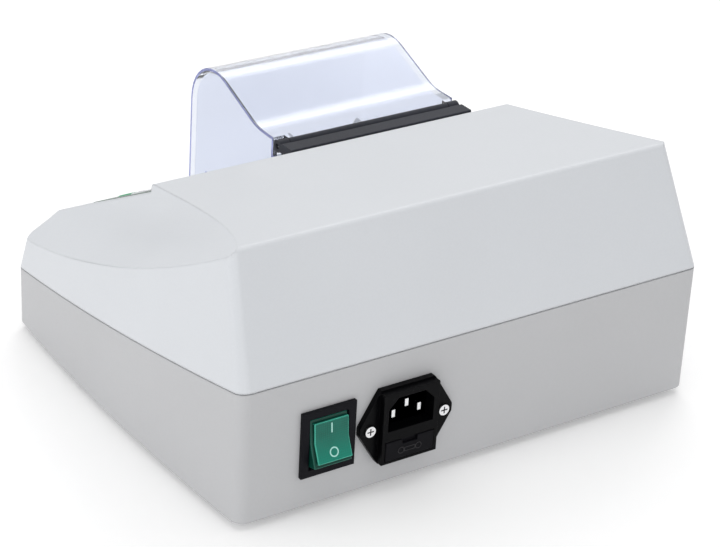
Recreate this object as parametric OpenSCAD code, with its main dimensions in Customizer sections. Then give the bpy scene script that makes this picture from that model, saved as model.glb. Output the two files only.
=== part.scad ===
// Dental amalgamator: a wedge-shaped bench machine that shakes a mixing capsule under a clear lid.
// Frame: X to the right seen from the front, +Y to the rear, +Z up, z = 0 under the rubber feet.

/* [Case] */
// Width of the case at its corners
body_w = 255; // [235:1:280]
// Depth of the case along the table
body_d = 217; // [205:1:235]
// How far each long side bows outward at its middle
side_bow = 4.4; // [1:0.2:8]
// Height of the joint line above the base's underside, at the rear
seam_rear_h = 66; // [60:1:74]
// Slope of the joint line, down towards the front, in degrees
seam_angle = 9.44; // [7:0.1:11]
// Radius of the rear upright corners
rear_corner_r = 6; // [3:0.5:12]
// Radius of the front upright corners
front_corner_r = 6; // [3:0.5:10]
// Wall of the base and the cover
wall = 3; // [2:0.1:4]
// Height of the cover above the joint line, square to it
cover_h = 60.2; // [56:0.5:64]
// How far the cover's rear face leans in over its height
rear_lean = 14; // [6:0.5:20]
// How far each of the cover's sides leans in over its height
side_lean = 7.6; // [3:0.2:12]
// Distance of the ridge from the rear face, measured along the joint
ridge_back = 122; // [116:1:128]
// Height of the step below the ridge
step_h = 4.2; // [3:0.2:6]
// Angle of the front slope to the joint line
front_angle = 18.3; // [16:0.1:20]
// Height of the front lip above the joint line
lip_h = 27.5; // [25:0.5:30]
// Radius of the cover's rear top edge
top_edge_r = 3.5; // [1:0.5:6]
// Radius of the big wheel that shapes the side scoops
scoop_wheel_r = 1020; // [900:10:1200]
// Width of the scoop on the right side, from the side face to its wall
scoop_w = 30.5; // [24:0.5:34]
// Width of the flat cut on the left side at the ridge
facet_w = 24; // [14:0.5:28]

/* [Feet] */
// Height of the rubber feet below the base
foot_h = 4; // [2:0.5:8]
// Diameter of a rubber foot
foot_d = 16; // [12:0.5:22]
// Distance of the feet from the case's long sides
foot_inset = 38; // [34:1:46]
// Distance of the feet from the front and the rear
foot_inset_y = 24; // [18:1:34]

/* [Lid] */
// Width of the clear lid
lid_w = 106.5; // [100:0.5:112]
// Middle of the lid, from the middle of the case
lid_x = -30; // [-34:0.5:-22]
// Thickness of the lid's sheet
lid_t = 3; // [2:0.1:4]
// Thickness of the lid's cheeks
cheek_t = 2.5; // [2:0.1:3.5]
// Slope of the lid's top towards its crest, in degrees
lid_rise = 21.5; // [16:0.1:24]
// Length by which the lid's nose stands out in front of the case, as a grip
lid_over = 11.2; // [6:0.2:13]
// Radius of the lid's nose
lid_nose_r = 24; // [18:0.5:28]
// Height above the table where the lid's front ends
lid_end_z = 52; // [51:0.5:58]
// Diameter of the hinge pin
pin_d = 3; // [2.4:0.1:3.4]
// Outer diameter of the hinge knuckles
knuckle_d = 6.4; // [6:0.1:7]
// Height of the black hinge bar above the cover
bar_h = 0.5; // [0:0.1:1.5]
// Depth of the black hinge bar
bar_d = 8.8; // [7:0.2:10]

/* [Well] */
// Width of the well under the lid
well_w = 93; // [86:1:96]
// Depth of the well below the front slope
well_depth = 24; // [20:0.5:25]
// Wall of the well's tray
well_wall = 2; // [1.5:0.1:2.5]

/* [Drive] */
// Diameter of the motor
motor_d = 58; // [50:1:62]
// Length of the motor
motor_l = 62; // [54:1:68]
// Diameter of the motor's shaft
shaft_d = 8; // [6:0.5:9]
// Tilt of the oblique hub, which is also the arm's swing to each side
hub_tilt = 6; // [3:0.5:7]
// Radius of the ball that the hub's bearing turns in
ball_r = 15; // [14:0.5:16]
// Length of the swing arm from the shaft to its tip
arm_l = 76; // [68:1:80]
// Width of the swing arm
arm_w = 10; // [8:0.5:12]
// Thickness of the swing arm
arm_t = 8; // [6:0.5:9]
// Free length between the clip's two fingers
clip_gap = 36; // [30:1:40]

/* [Panel] */
// Width of the control panel
panel_w = 58; // [54:1:60]
// Length of the control panel down the slope
panel_l = 64; // [60:1:68]
// Middle of the control panel, from the middle of the case
panel_x = 67; // [65:0.5:68]
// Diameter of a key
key_d = 11; // [9:0.5:12]

/* [Mains] */
// Width of the switch's bezel
bezel_w = 28; // [24:0.5:30]
// Height of the switch's bezel
bezel_h = 33; // [31:0.5:36]
// Middle of the switch, in from the side of the case
switch_in = 44.5; // [41:0.5:47]
// How far the rocker tips between off and on, in degrees
rocker_swing = 24; // [16:1:28]
// Width of the inlet's flange from tip to tip
inlet_w = 50; // [48:0.5:52]
// Height of the inlet's block
inlet_h = 38; // [36:0.5:40]
// Distance between the middles of the switch and the inlet
mains_gap = 40.7; // [40:0.1:44]
// Distance between the inlet's two screws
inlet_screw_gap = 40; // [38:0.5:42]
// How far the inlet's block stands out of the rear wall
inlet_reach = 6.5; // [4:0.5:8]

/* [Hidden] */
$fn = 48;

cover_colour = [0.86, 0.87, 0.88];
base_colour = [0.80, 0.81, 0.81];
black_plastic = [0.09, 0.09, 0.10];
steel_colour = [0.72, 0.73, 0.75];
brass_colour = [0.80, 0.66, 0.36];
board_colour = [0.10, 0.36, 0.20];

eps = 0.02;
seat = 0.2;
half_w = body_w / 2;
rocker_arc_r = (bezel_h - 3.6) / 2 - 0.35;
rocker_end_y = 4.5;
rocker_reach = rocker_end_y * cos(rocker_swing / 2) + (rocker_arc_r - 0.6) * sin(rocker_swing / 2);
rear_reach = max(rocker_reach, inlet_reach);
rear_y = (body_d + lid_over - rear_reach) / 2;
front_y = rear_y - body_d;
seam_rear_z = foot_h + seam_rear_h;
floor_t = wall;
floor_z = foot_h + floor_t;
seam_len = body_d / cos(seam_angle);

// Height of the joint line above the table at a place along the depth
function seam_z(y) = seam_rear_z + (y - rear_y) * tan(seam_angle);
// A point of the frame that lies on the joint, as depth and height above the table
function from_seam(p) = [rear_y + p[0] * cos(seam_angle) - p[1] * sin(seam_angle),
    seam_rear_z + p[0] * sin(seam_angle) + p[1] * cos(seam_angle)];

step_foot = from_seam([-ridge_back, cover_h - step_h]);
ridge_top = from_seam([-ridge_back, cover_h]);
slope_angle = seam_angle + front_angle;
slope_l = (cover_h - step_h - lip_h) / sin(front_angle);
lip_top = [-ridge_back - slope_l * cos(front_angle), lip_h];
rim = from_seam(lip_top);

function unit(v) = v / norm(v);
function turn_left(v) = [-v[1], v[0]];
function wrap(i, n) = (i + n) % n;
function near_turn(a) = a > 180 ? a - 360 : (a < -180 ? a + 360 : a);

// Points of the arc that rounds the corner b of the path a, b, c
function corner_arc(a, b, c, r, n) =
    let (u = unit(a - b), w = unit(c - b), half = acos(u * w) / 2,
        o = b + unit(u + w) * r / sin(half),
        s = b + u * r / tan(half) - o, e = b + w * r / tan(half) - o,
        a0 = atan2(s[1], s[0]), da = near_turn(atan2(e[1], e[0]) - a0))
    [for (i = [0:n]) o + r * [cos(a0 + da * i / n), sin(a0 + da * i / n)]];

// A closed outline with its corners rounded by the radii given
function rounded(pts, radii, n = 6) = [for (i = [0:len(pts) - 1])
    each (radii[i] > 0
        ? corner_arc(pts[wrap(i - 1, len(pts))], pts[i], pts[wrap(i + 1, len(pts))], radii[i], n)
        : [pts[i]])];

// The corners of a counterclockwise outline, moved inward by d
function inset_pts(pts, d) = [for (i = [0:len(pts) - 1])
    let (p = pts[wrap(i - 1, len(pts))], q = pts[i], r = pts[wrap(i + 1, len(pts))],
        n1 = turn_left(unit(q - p)), n2 = turn_left(unit(r - q)))
    q + d * (n1 + n2) / (1 + n1 * n2)];

// Plan of the case with its bowed sides, from the front line at 0 to the rear line at depth
bow_steps = 12;
function bow_x(t) = half_w + side_bow * (1 - pow(2 * t - 1, 2));
function plan_corners(depth, inset) = concat(
    [for (i = [0:bow_steps]) [bow_x(i / bow_steps) - inset, inset + (depth - 2 * inset) * i / bow_steps]],
    [for (i = [bow_steps:-1:0]) [inset - bow_x(i / bow_steps), inset + (depth - 2 * inset) * i / bow_steps]]);
function plan_radii(inset) = concat([max(1, front_corner_r - inset)], [for (i = [1:bow_steps - 1]) 0],
    [max(1, rear_corner_r - inset), max(1, rear_corner_r - inset)], [for (i = [1:bow_steps - 1]) 0],
    [max(1, front_corner_r - inset)]);
module plan(depth, inset) {
    polygon(rounded(plan_corners(depth, inset), plan_radii(inset)));
}

// Frames: on the joint line, and on the front slope with +Y up the slope and +Z out of it
module on_seam() {
    translate([0, rear_y, seam_rear_z]) rotate([seam_angle, 0, 0]) children();
}
module on_slope() {
    translate([0, step_foot[0], step_foot[1]]) rotate([slope_angle, 0, 0]) children();
}
// A bar along X whose section is drawn in depth and height
module along_x(x0, x1) {
    translate([x0, 0, 0]) rotate([90, 0, 90]) linear_extrude(height = x1 - x0) children();
}
// A round bar along X
module rod_x(x0, x1, d) {
    translate([x0, 0, 0]) rotate([0, 90, 0]) cylinder(h = x1 - x0, d = d);
}
// A cross-recessed screw that points up, with the top of its head at 0 and the head below
module screw_up(d, l, head_d, head_h) {
    difference() {
        union() {
            translate([0, 0, -head_h]) cylinder(h = head_h, d = head_d);
            translate([0, 0, -eps]) cylinder(h = l, d = d);
        }
        translate([-head_d * 0.32, -head_d * 0.06, -head_h - eps])
            cube([head_d * 0.64, head_d * 0.12, head_h * 0.6]);
        translate([-head_d * 0.06, -head_d * 0.32, -head_h - eps])
            cube([head_d * 0.12, head_d * 0.64, head_h * 0.6]);
    }
}

/* Case */
screw_d = 3;
boss_d = 9;
boss_places = [[-half_w + 16, rear_y - 24], [half_w - 16, rear_y - 24],
    [-half_w + 16, front_y + 40], [half_w - 16, front_y + 40]];
screw_depth = 12;
head_d = 6;
foot_places = [for (sx = [-1, 1], y = [front_y + foot_inset_y, rear_y - foot_inset_y])
    [sx * (half_w - foot_inset), y]];

switch_x = half_w - switch_in;
switch_z = foot_h + 32.3;
bezel_t = 2;
switch_body_w = bezel_w - 3;
switch_body_h = bezel_h - 2;
switch_depth = 22;
inlet_x = switch_x - mains_gap;
inlet_z = foot_h + 31.3;
inlet_flange_t = 3;
inlet_body_w = 29;
inlet_body_h = inlet_h - 4;
inlet_depth = 20;

// The wedge below the joint line
module below_seam() {
    along_x(-body_w, body_w)
        polygon([[front_y - 20, -20], [rear_y + 20, -20], [rear_y + 20, seam_z(rear_y + 20)],
            [front_y - 20, seam_z(front_y - 20)]]);
}
module upright(places, z, h, d) {
    for (p = places) translate([p[0], p[1], z]) cylinder(h = h, d = d);
}

module base_shell() {
    color(base_colour) difference() {
        intersection() {
            translate([0, front_y, foot_h]) linear_extrude(height = seam_rear_h + 10) plan(body_d, 0);
            below_seam();
        }
        difference() {
            translate([0, front_y, floor_z]) linear_extrude(height = seam_rear_h + 10) plan(body_d, wall);
            upright(boss_places, foot_h, seam_rear_h + 10, boss_d);
            upright(foot_places, foot_h, floor_t + 4, 8);
            base_posts();
        }
        for (p = boss_places) translate([p[0], p[1], foot_h - 1]) {
            cylinder(h = seam_rear_h, d = screw_d + 0.6);
            cylinder(h = seam_z(p[1]) - foot_h - screw_depth + 1, d = head_d + 0.8);
        }
        for (p = foot_places) translate([p[0], p[1], foot_h - 1]) cylinder(h = floor_t + 3, d = 3);
        for (p = core_screw_places) translate([p[0], p[1], foot_h + 1])
            cylinder(h = floor_t + core_stand, d = 3.1);
        translate([switch_x - switch_body_w / 2 - seat, rear_y - wall - 1,
            switch_z - switch_body_h / 2 - seat])
            cube([switch_body_w + 2 * seat, wall + 2, switch_body_h + 2 * seat]);
        translate([inlet_x - inlet_body_w / 2 - seat, rear_y - wall - 1, inlet_z - inlet_body_h / 2 - seat])
            cube([inlet_body_w + 2 * seat, wall + 2, inlet_body_h + 2 * seat]);
        for (s = [-1, 1]) translate([inlet_x + s * inlet_screw_gap / 2, rear_y + 1, inlet_z])
            rotate([90, 0, 0]) cylinder(h = wall + 2, d = screw_d + 0.6);
        vent_slots();
        seam_groove();
    }
}
// The narrow shadow groove that runs round the case just below the joint
groove_h = 0.5;
groove_d = 0.8;
module seam_groove() {
    difference() {
        on_seam() translate([-body_w, -seam_len - 10, -groove_h]) cube([2 * body_w, seam_len + 20, 10]);
        translate([0, front_y, foot_h - 1]) linear_extrude(height = seam_rear_h + 20) plan(body_d, groove_d);
    }
}
// A row of air slots in the floor under the motor
vent_n = 7;
module vent_slots() {
    for (i = [0:vent_n - 1]) translate([motor_x0 + 8 + i * 7, shaft_y - 22, foot_h - 1])
        cube([3, 44, floor_t + 2]);
}

// The outer form of the cover, or the space inside a wall of the given thickness. Its plan shrinks towards
// the top, and its profile is cut a skin's thickness inside that, which makes flat faces front and rear
plan_skin = 0.05;
module cover_form(inset) {
    low = inset > 0 ? -2 : 0;
    high = cover_h + 2;
    rise = (high - low) / cover_h;
    front_lean = (lip_top[0] + seam_len) * cover_h / lip_h;
    narrow = 1 - side_lean / (half_w + side_bow) * rise;
    short = 1 - (rear_lean + front_lean) / seam_len * rise;
    still_y = -seam_len * rear_lean / (rear_lean + front_lean);
    on_seam() difference() {
        intersection() {
            translate([0, still_y, low]) linear_extrude(height = high - low, slices = 1,
                scale = [narrow, short])
                polygon([for (p = rounded(plan_corners(body_d + 2 * plan_skin, inset), plan_radii(inset)))
                    [p[0], (p[1] - plan_skin) / cos(seam_angle) - seam_len - still_y]]);
            along_x(-body_w, body_w)
                polygon(rounded(inset > 0 ? inner_profile(inset, low) : outer_profile(),
                [0, max(0.6, top_edge_r - inset), 2, 0.8, 3, 0], 5));
        }
        side_wheel(1, scoop_section(inset));
        side_wheel(-1, facet_section(inset));
    }
}
// Profile of the cover in the joint's frame, counterclockwise from the rear foot, moved inward
function outer_profile() = [[0, 0], [-rear_lean, cover_h], [-ridge_back, cover_h],
    [-ridge_back, cover_h - step_h], lip_top, [-seam_len, 0]];
function inner_profile(inset, low) =
    let (p = inset_pts(outer_profile(), inset), n = len(p))
    [for (i = [0:n - 1]) (i == 0 || i == n - 1)
        ? p[i] + (p[i] - (i == 0 ? p[1] : p[n - 2])) * ((p[i][1] - low) / ((i == 0 ? p[1] : p[n - 2])[1] - p[i][1]))
        : p[i]];

// The scoops: the rim of a big wheel that stands on an axle along X, high above the front
wheel_y = -308;
wheel_low = 9.7;
scoop_edge = half_w + 1.6;
scoop_corner = [scoop_w - 4, 15.5];
facet_corner = [8, 6];
// Sections of the wheel's rim, as distance in from the side and height above the rim, counterclockwise
function scoop_section(inset) =
    rounded(inset_pts([[-30, 0], [1.1, 0], scoop_corner, [scoop_w + 0.5, 40], [scoop_w + 0.5, 120],
        [-30, 120]], -inset),
    [0, 0, 25 + inset, 0, 0, 0], 6);
function facet_section(inset) =
    rounded(inset_pts([[-30, 0], [1.1, 0], facet_corner, [facet_w + 1.5, 33.5], [facet_w + 16, 58],
        [-30, 58]], -inset),
    [0, 0, 14 + inset, 20, 0, 0], 4);
module side_wheel(side, section) {
    mirror([side > 0 ? 0 : 1, 0, 0]) translate([scoop_edge, wheel_y, wheel_low + scoop_wheel_r])
        rotate([0, -90, 0])
        rotate_extrude($fn = 300)
        polygon([for (p = section) [scoop_wheel_r - p[1], p[0]]]);
}

well_x0 = lid_x - well_w / 2;
well_top = 15;
well_bottom = 78;
well_h = well_bottom - well_top;
panel_top = 10;
pocket = 1.2;
ledge = 1;

module top_cover() {
    color(cover_colour) difference() {
        cover_form(0);
        difference() {
            cover_form(wall);
            upright(boss_places, seam_z(front_y), 90, boss_d);
        }
        for (p = boss_places) translate([p[0], p[1], foot_h])
            cylinder(h = seam_z(p[1]) - foot_h + 9, d = screw_d + 0.1);
        on_slope() {
            translate([well_x0 - seat, -well_bottom - seat, -10])
                cube([well_w + 2 * seat, well_h + 2 * seat, 20]);
            translate([panel_x - panel_w / 2 - seat, -panel_top - panel_l - seat, -pocket])
                cube([panel_w + 2 * seat, panel_l + 2 * seat, 10]);
            translate([panel_x - panel_w / 2 + ledge, -panel_top - panel_l + ledge, -10])
                cube([panel_w - 2 * ledge, panel_l - 2 * ledge, 20]);
        }
        for (x = bar_screw_x) on_slope() translate([x, bar_mid, -wall - 1])
            cylinder(h = wall + 2, d = screw_d + 0.4);
    }
}

module rubber_feet() {
    color([0.16, 0.16, 0.17]) for (p = foot_places) translate([p[0], p[1], 0]) difference() {
        rotate_extrude() polygon([[0, 0], [foot_d / 2 - 1.6, 0], [foot_d / 2 - 1.2, 0.4],
            [foot_d / 2, foot_h], [0, foot_h]]);
        translate([0, 0, -1]) cylinder(h = 1 + foot_h / 2, d = head_d + 1.4);
        cylinder(h = foot_h + 1, d = 3.1);
    }
}
module foot_screws() {
    color(steel_colour) for (p = foot_places) translate([p[0], p[1], foot_h / 2])
        screw_up(2.9, 5.4, 5.6, 1.4);
}
module case_screws() {
    color(steel_colour) for (p = boss_places) translate([p[0], p[1], seam_z(p[1]) - screw_depth])
        screw_up(screw_d, screw_depth + 8.5, head_d, 2.2);
}

/* Hinge and lid */
bar_x0 = lid_x - lid_w / 2;
bar_x1 = bar_x0 + lid_w;
knuckle_clear = 0.9;
bar_back = ridge_top[0] - 0.1;
hinge_y = bar_back - bar_d - knuckle_clear - knuckle_d / 2;
hinge_z = ridge_top[1] + bar_h - knuckle_d / 2 + 0.2;
bar_front = hinge_y + knuckle_d / 2 + knuckle_clear;
bar_screw_x = [bar_x0 + 16, bar_x1 - 16];
bar_mid = -5.6;
fixed_knuckle_l = 6;
knuckle_play = 0.3;
barrel_x0 = bar_x0 + fixed_knuckle_l + knuckle_play;
barrel_l = bar_x1 - bar_x0 - 2 * (fixed_knuckle_l + knuckle_play);
fixed_knuckles = [bar_x0, bar_x1 - fixed_knuckle_l];

// Section of the hinge bar, which lies in the step of the cover, flush with the ridge behind it
module bar_section() {
    top = ridge_top[1] + bar_h;
    polygon(rounded([[bar_front, slope_z(bar_front)], [bar_back - 1.2, slope_z(bar_back - 1.2)],
        [bar_back, slope_z(bar_back) + 1], [bar_back, top], [bar_front, top]], [0, 0, 0, 0.5, 0.8], 4));
}
module hinge_bar() {
    color(black_plastic) difference() {
        union() {
            along_x(bar_x0, bar_x1) bar_section();
            for (x = fixed_knuckles) {
                translate([0, hinge_y, hinge_z]) rod_x(x, x + fixed_knuckle_l, knuckle_d);
                along_x(x, x + fixed_knuckle_l) polygon([[hinge_y, hinge_z - knuckle_d / 2 + 0.6],
                    [bar_front + 1, hinge_z - knuckle_d / 2 + 1.2], [bar_front + 1, hinge_z + 2],
                        [hinge_y, hinge_z + 2]]);
            }
        }
        translate([0, hinge_y, hinge_z]) rod_x(bar_x0 - 1, bar_x1 + 1, pin_d + 0.06);
        for (x = bar_screw_x) on_slope() translate([x, bar_mid, -1]) cylinder(h = 5.4, d = screw_d + 0.1);
    }
}
module hinge_bar_screws() {
    color(steel_colour) for (x = bar_screw_x) on_slope() translate([x, bar_mid, -wall - 0.05])
        screw_up(screw_d, wall + 4, 5.6, 1.6);
}
module hinge_pin() {
    color(steel_colour) translate([0, hinge_y, hinge_z]) rod_x(bar_x0 + 1, bar_x1 - 1, pin_d);
}

lid_front = front_y - lid_over;
lid_draft = 2;
lid_gap = 0.5;
lid_top_z = hinge_z + knuckle_d / 2;
lid_bend_y = hinge_y - 19.6;
lid_bend_z = lid_top_z;
lid_bend_r = 30;
lid_peak_z = lid_bend_z + (lid_bend_y - lid_front - lid_draft) * tan(lid_rise);
function slope_z(y) = step_foot[1] + (y - step_foot[0]) * tan(slope_angle);
slope_gap = lid_gap / cos(slope_angle);
lip_gap = 0.8;
function lip_y(z) = rim[0] - (rim[1] - z) * (rim[0] - front_y) / (rim[1] - seam_z(front_y));
lid_rim_y = rim[0] - lid_gap;

// The lid's closed section: along the top, down the nose, and back up along the slope
function lid_outer() = [[hinge_y, lid_top_z], [lid_bend_y, lid_bend_z], [lid_front + lid_draft, lid_peak_z],
    [lid_front, lid_end_z], [lip_y(lid_end_z) - lip_gap, lid_end_z],
    [rim[0] - lip_gap, rim[1] + 1], [lid_rim_y + 3, slope_z(lid_rim_y + 3) + slope_gap],
    [hinge_y - 2, slope_z(hinge_y - 2) + slope_gap + 1], [hinge_y, hinge_z - knuckle_d / 2 + 0.3]];
// The space inside it, open at the bottom
function lid_inner() =
    let (drop = lid_t / cos(lid_rise))
    [[hinge_y - knuckle_d / 2 - 0.5, lid_top_z - lid_t], [lid_bend_y, lid_bend_z - lid_t],
    [lid_front + lid_draft + lid_t, lid_peak_z - drop - lid_t * tan(lid_rise)],
    [lid_front + lid_t, lid_end_z - 1], [lid_rim_y, lid_end_z - 1],
        [hinge_y - knuckle_d / 2 - 0.5, slope_z(hinge_y) - 6]];
module lid_shell() {
    color([0.80, 0.84, 0.95, 0.45]) difference() {
        union() {
            difference() {
                along_x(bar_x0, bar_x0 + lid_w) polygon(rounded(lid_outer(),
                    [0, lid_bend_r, lid_nose_r, 0, 0, 0, 0, 0, 0], 10));
                along_x(bar_x0 + cheek_t, bar_x0 + lid_w - cheek_t)
                    polygon(rounded(lid_inner(), [0, lid_bend_r + lid_t, lid_nose_r - lid_t, 0, 0, 0], 10));
                for (x = fixed_knuckles)
                    translate([x - knuckle_play, hinge_y - knuckle_d / 2 - 0.6, hinge_z - knuckle_d])
                    cube([fixed_knuckle_l + 2 * knuckle_play, knuckle_d, 2 * knuckle_d]);
            }
            translate([0, hinge_y, hinge_z]) rod_x(barrel_x0, barrel_x0 + barrel_l, knuckle_d);
        }
        translate([0, hinge_y, hinge_z]) rod_x(bar_x0 - 1, bar_x1 + 1, pin_d + 0.1);
    }
}
magnet_d = 6;
module lid_magnet() {
    color(steel_colour) translate([bar_x0 + cheek_t, lid_rim_y + 12, slope_z(lid_rim_y + 12) + 7])
        rod_x(seat, 2.4 + seat, magnet_d);
}
module lid_sensor() {
    color(black_plastic) on_slope() translate([bar_x0 - 4, -76, -wall - 4.2]) cube([6, 14, 4]);
}

/* Well and swing arm */
module mixing_well() {
    flange = 3.4;
    flange_t = 1.2;
    lug = 1;
    color([0.74, 0.76, 0.78]) on_slope() difference() {
        union() {
            translate([well_x0, -well_bottom, -well_depth - well_wall])
                cube([well_w, well_h, well_depth + well_wall + eps]);
            translate([well_x0 - flange, -well_bottom - flange, 0])
                cube([well_w + 2 * flange, well_h + 2 * flange, flange_t]);
            for (y = [0.25, 0.75], s = [0, 1]) translate([well_x0 - lug + s * (well_w + lug),
                -well_bottom + y * well_h - 5, -wall - seat - 3])
                cube([lug, 10, 3]);
        }
        translate([well_x0 + well_wall, -well_bottom + well_wall, -well_depth])
            cube([well_w - 2 * well_wall, well_h - 2 * well_wall, well_depth + 10]);
        translate([lid_x - slot_half_w, -slot_s1, -well_depth - well_wall - 1])
            cube([2 * slot_half_w, slot_s1 - slot_s0, well_wall + 2]);
    }
}
module slot_gasket() {
    rim_w = 3;
    color([0.14, 0.14, 0.15]) on_slope() translate([lid_x, -slot_s1, -well_depth]) difference() {
        translate([-slot_half_w - rim_w, -rim_w, 0])
            cube([2 * (slot_half_w + rim_w), slot_s1 - slot_s0 + 2 * rim_w, 1.6]);
        translate([-slot_half_w, 0, -1]) cube([2 * slot_half_w, slot_s1 - slot_s0, 4]);
    }
}
arm_rise = 8;
shaft_y = ridge_top[0] + 18;
shaft_z = ridge_top[1] - 51;
hub_x = lid_x;
socket_gap = 0.35;
ring_r = ball_r + 6;
ring_w = 12;
slope_rel = [shaft_y - step_foot[0], shaft_z - step_foot[1]];
shaft_s = -slope_rel[0] * cos(slope_angle) - slope_rel[1] * sin(slope_angle);
shaft_n = -slope_rel[0] * sin(slope_angle) + slope_rel[1] * cos(slope_angle);
arm_slope = slope_angle + arm_rise;
arm_cross_l = (-well_depth - well_wall / 2 - shaft_n) / sin(arm_slope);
arm_cross_s = shaft_s + arm_cross_l * cos(arm_slope);
rib_h = 4;
slot_s0 = arm_cross_s - arm_t / 2 / sin(arm_slope) - 3;
slot_s1 = arm_cross_s + (arm_t / 2 + rib_h) / sin(arm_slope) + 5;
slot_half_w = arm_w / 2 + arm_cross_l * sin(hub_tilt) + 2.5;

// Frame of the arm: origin at the hub's middle, -Y along the arm, +Z along its rocking axis
module on_arm() {
    translate([hub_x, shaft_y, shaft_z]) rotate([-arm_rise, 0, 0]) children();
}
// Section of the arm's ring, whose inside is a ball socket, as radius and place along the shaft
ring_steps = 8;
function ring_section() = let (r = ball_r + socket_gap, a = asin(ring_w / 2 / r))
    concat([[ring_r, -ring_w / 2], [ring_r, ring_w / 2]],
    [for (i = [ring_steps:-1:0]) let (t = a * (2 * i / ring_steps - 1)) [r * cos(t), r * sin(t)]]);
module swing_arm() {
    color([0.62, 0.64, 0.67]) on_arm() {
        rotate([0, 90, 0]) rotate_extrude($fn = 96) polygon(ring_section());
        difference() {
            union() {
                translate([-arm_w / 2, -arm_l, -arm_t / 2]) cube([arm_w, arm_l - ring_r + 1.5, arm_t]);
                translate([-1.5, -arm_l + 8, -arm_t / 2 - rib_h]) cube([3, arm_l - ring_r - 6.5, rib_h + 1]);
                translate([0, -arm_l, -arm_t / 2]) cylinder(h = arm_t, d = arm_w);
            }
            for (y = clip_screw_y) translate([0, y, -arm_t]) cylinder(h = 2 * arm_t, d = 3.1);
        }
        difference() {
            translate([-2, -3.5, -ring_r - 5]) cube([4, 7, 6]);
            translate([-4, 0, -ring_r - 2.6]) rod_x(0, 8, 2.6);
        }
    }
}
clip_t = 1.2;
clip_wide = 10;
finger_h = 17;
clip_screw_y = [-arm_l + 3, -arm_l - 0.5 + 9];
clip_mid_y = -arm_l + 5.6;
// The clip: one strip of spring steel with two fingers that hold the capsule by its ends
module capsule_clip() {
    x1 = clip_gap / 2;
    color(steel_colour) on_arm() translate([0, 0, arm_t / 2]) difference() {
        union() {
            translate([-x1 - clip_t, clip_mid_y - clip_wide / 2, 0])
                cube([2 * (x1 + clip_t), clip_wide, clip_t]);
            for (s = [-1, 1]) mirror([s > 0 ? 0 : 1, 0, 0]) {
                translate([0, clip_mid_y + clip_wide / 2, 0]) rotate([90, 0, 0])
                    linear_extrude(height = clip_wide)
                    polygon([[x1, 0], [x1 + clip_t, 0], [x1 + clip_t, 4], [x1 - 1.2 + clip_t, finger_h - 5],
                        [x1 + 2.2 + clip_t, finger_h], [x1 + 2.2, finger_h + 0.4],
                            [x1 - 1.2, finger_h - 5], [x1, 4]]);
            }
        }
        for (y = clip_screw_y) translate([0, y, -1]) cylinder(h = 4, d = 3.2);
        for (s = [-1, 1]) translate([s * (x1 + 1), clip_mid_y, finger_h - 7.5]) rod_x(-4, 4, 4);
    }
}
module clip_screws() {
    color(steel_colour) on_arm() for (y = clip_screw_y) translate([0, y, arm_t / 2 + clip_t])
        rotate([180, 0, 0]) screw_up(3, arm_t + clip_t - 0.5, 4.6, 1.4);
}

// A coil spring below the ring, on the rocking axis, which keeps the arm from turning with the shaft
spring_r = 4;
spring_wire = 0.9;
spring_turns = 6;
spring_top = -ring_r - 5.6;
spring_l = 12;
function spring_point(t) = [spring_r * cos(360 * t), spring_r * sin(360 * t),
    spring_top - spring_l * t / spring_turns];
module tube(path, r, sides) {
    n = len(path);
    rings = [for (i = [0:n - 1])
        let (d = unit(path[min(i + 1, n - 1)] - path[max(i - 1, 0)]), u = unit(cross(d, [0, 0, 1])),
            v = cross(u, d))
        [for (k = [0:sides - 1]) path[i] + r * (u * cos(360 * k / sides) + v * sin(360 * k / sides))]];
    polyhedron(points = [for (g = rings) each g],
        faces = concat([[for (k = [sides - 1:-1:0]) k]], [[for (k = [0:sides - 1]) (n - 1) * sides + k]],
            [for (i = [0:n - 2], k = [0:sides - 1]) each
                [[i * sides + k, (i + 1) * sides + (k + 1) % sides, (i + 1) * sides + k],
                [i * sides + k, i * sides + (k + 1) % sides, (i + 1) * sides + (k + 1) % sides]]]));
}
module anchor_spring() {
    color(steel_colour) on_arm() tube([for (i = [0:spring_turns * 12]) spring_point(i / 12)],
        spring_wire / 2, 6);
}
post_plate_d = 11;
module spring_post() {
    foot = spring_top - spring_l - spring_wire / 2 - seat;
    color(steel_colour) intersection() {
        on_arm() union() {
            translate([0, 0, foot - 40]) cylinder(h = 40, d = 7);
            translate([0, 0, foot - 1.5]) cylinder(h = 1.5, d = post_plate_d);
        }
        translate([hub_x - 20, shaft_y - 40, floor_z]) cube([40, 80, 60]);
    }
}

/* Drive */
motor_x0 = well_x0 + well_w + 2;
motor_x1 = motor_x0 + motor_l;
can_t = 1.5;
bearing_od = 22;
bearing_w = 7;
boss_l = 20;
module on_shaft() {
    translate([0, shaft_y, shaft_z]) children();
}
module motor_can() {
    color([0.55, 0.56, 0.58]) on_shaft() difference() {
        union() {
            rod_x(motor_x0, motor_x1 - 6, motor_d);
            rod_x(motor_x0 - boss_l, motor_x0 + 1, bearing_od + 4);
        }
        rod_x(motor_x0 + 3, motor_x1, motor_d - 2 * can_t);
        rod_x(motor_x0 - boss_l + 1, motor_x0 + 4, bearing_od + 0.04);
        rod_x(motor_x0 - boss_l - 1, motor_x0, bearing_od - 6);
        for (a = [45:90:315]) rotate([a, 0, 0]) translate([motor_x1 - 18, motor_d / 2 - 4, -6])
            cube([8, 8, 12]);
    }
}
module motor_end_cap() {
    color([0.30, 0.31, 0.33]) on_shaft() difference() {
        union() {
            rod_x(motor_x1 - 6, motor_x1 - 2, motor_d);
            rod_x(motor_x1 - 12, motor_x1 - 5, motor_d - 2 * can_t - 0.4);
            rod_x(motor_x1 - 3, motor_x1 + 3, bearing_od + 4);
        }
        rod_x(motor_x1 - 13, motor_x1 - 5, motor_d - 2 * can_t - 6);
        rod_x(motor_x1 - 6, motor_x1 + 2, bearing_od + 0.04);
    }
}
magnet_gap = 16;
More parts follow.
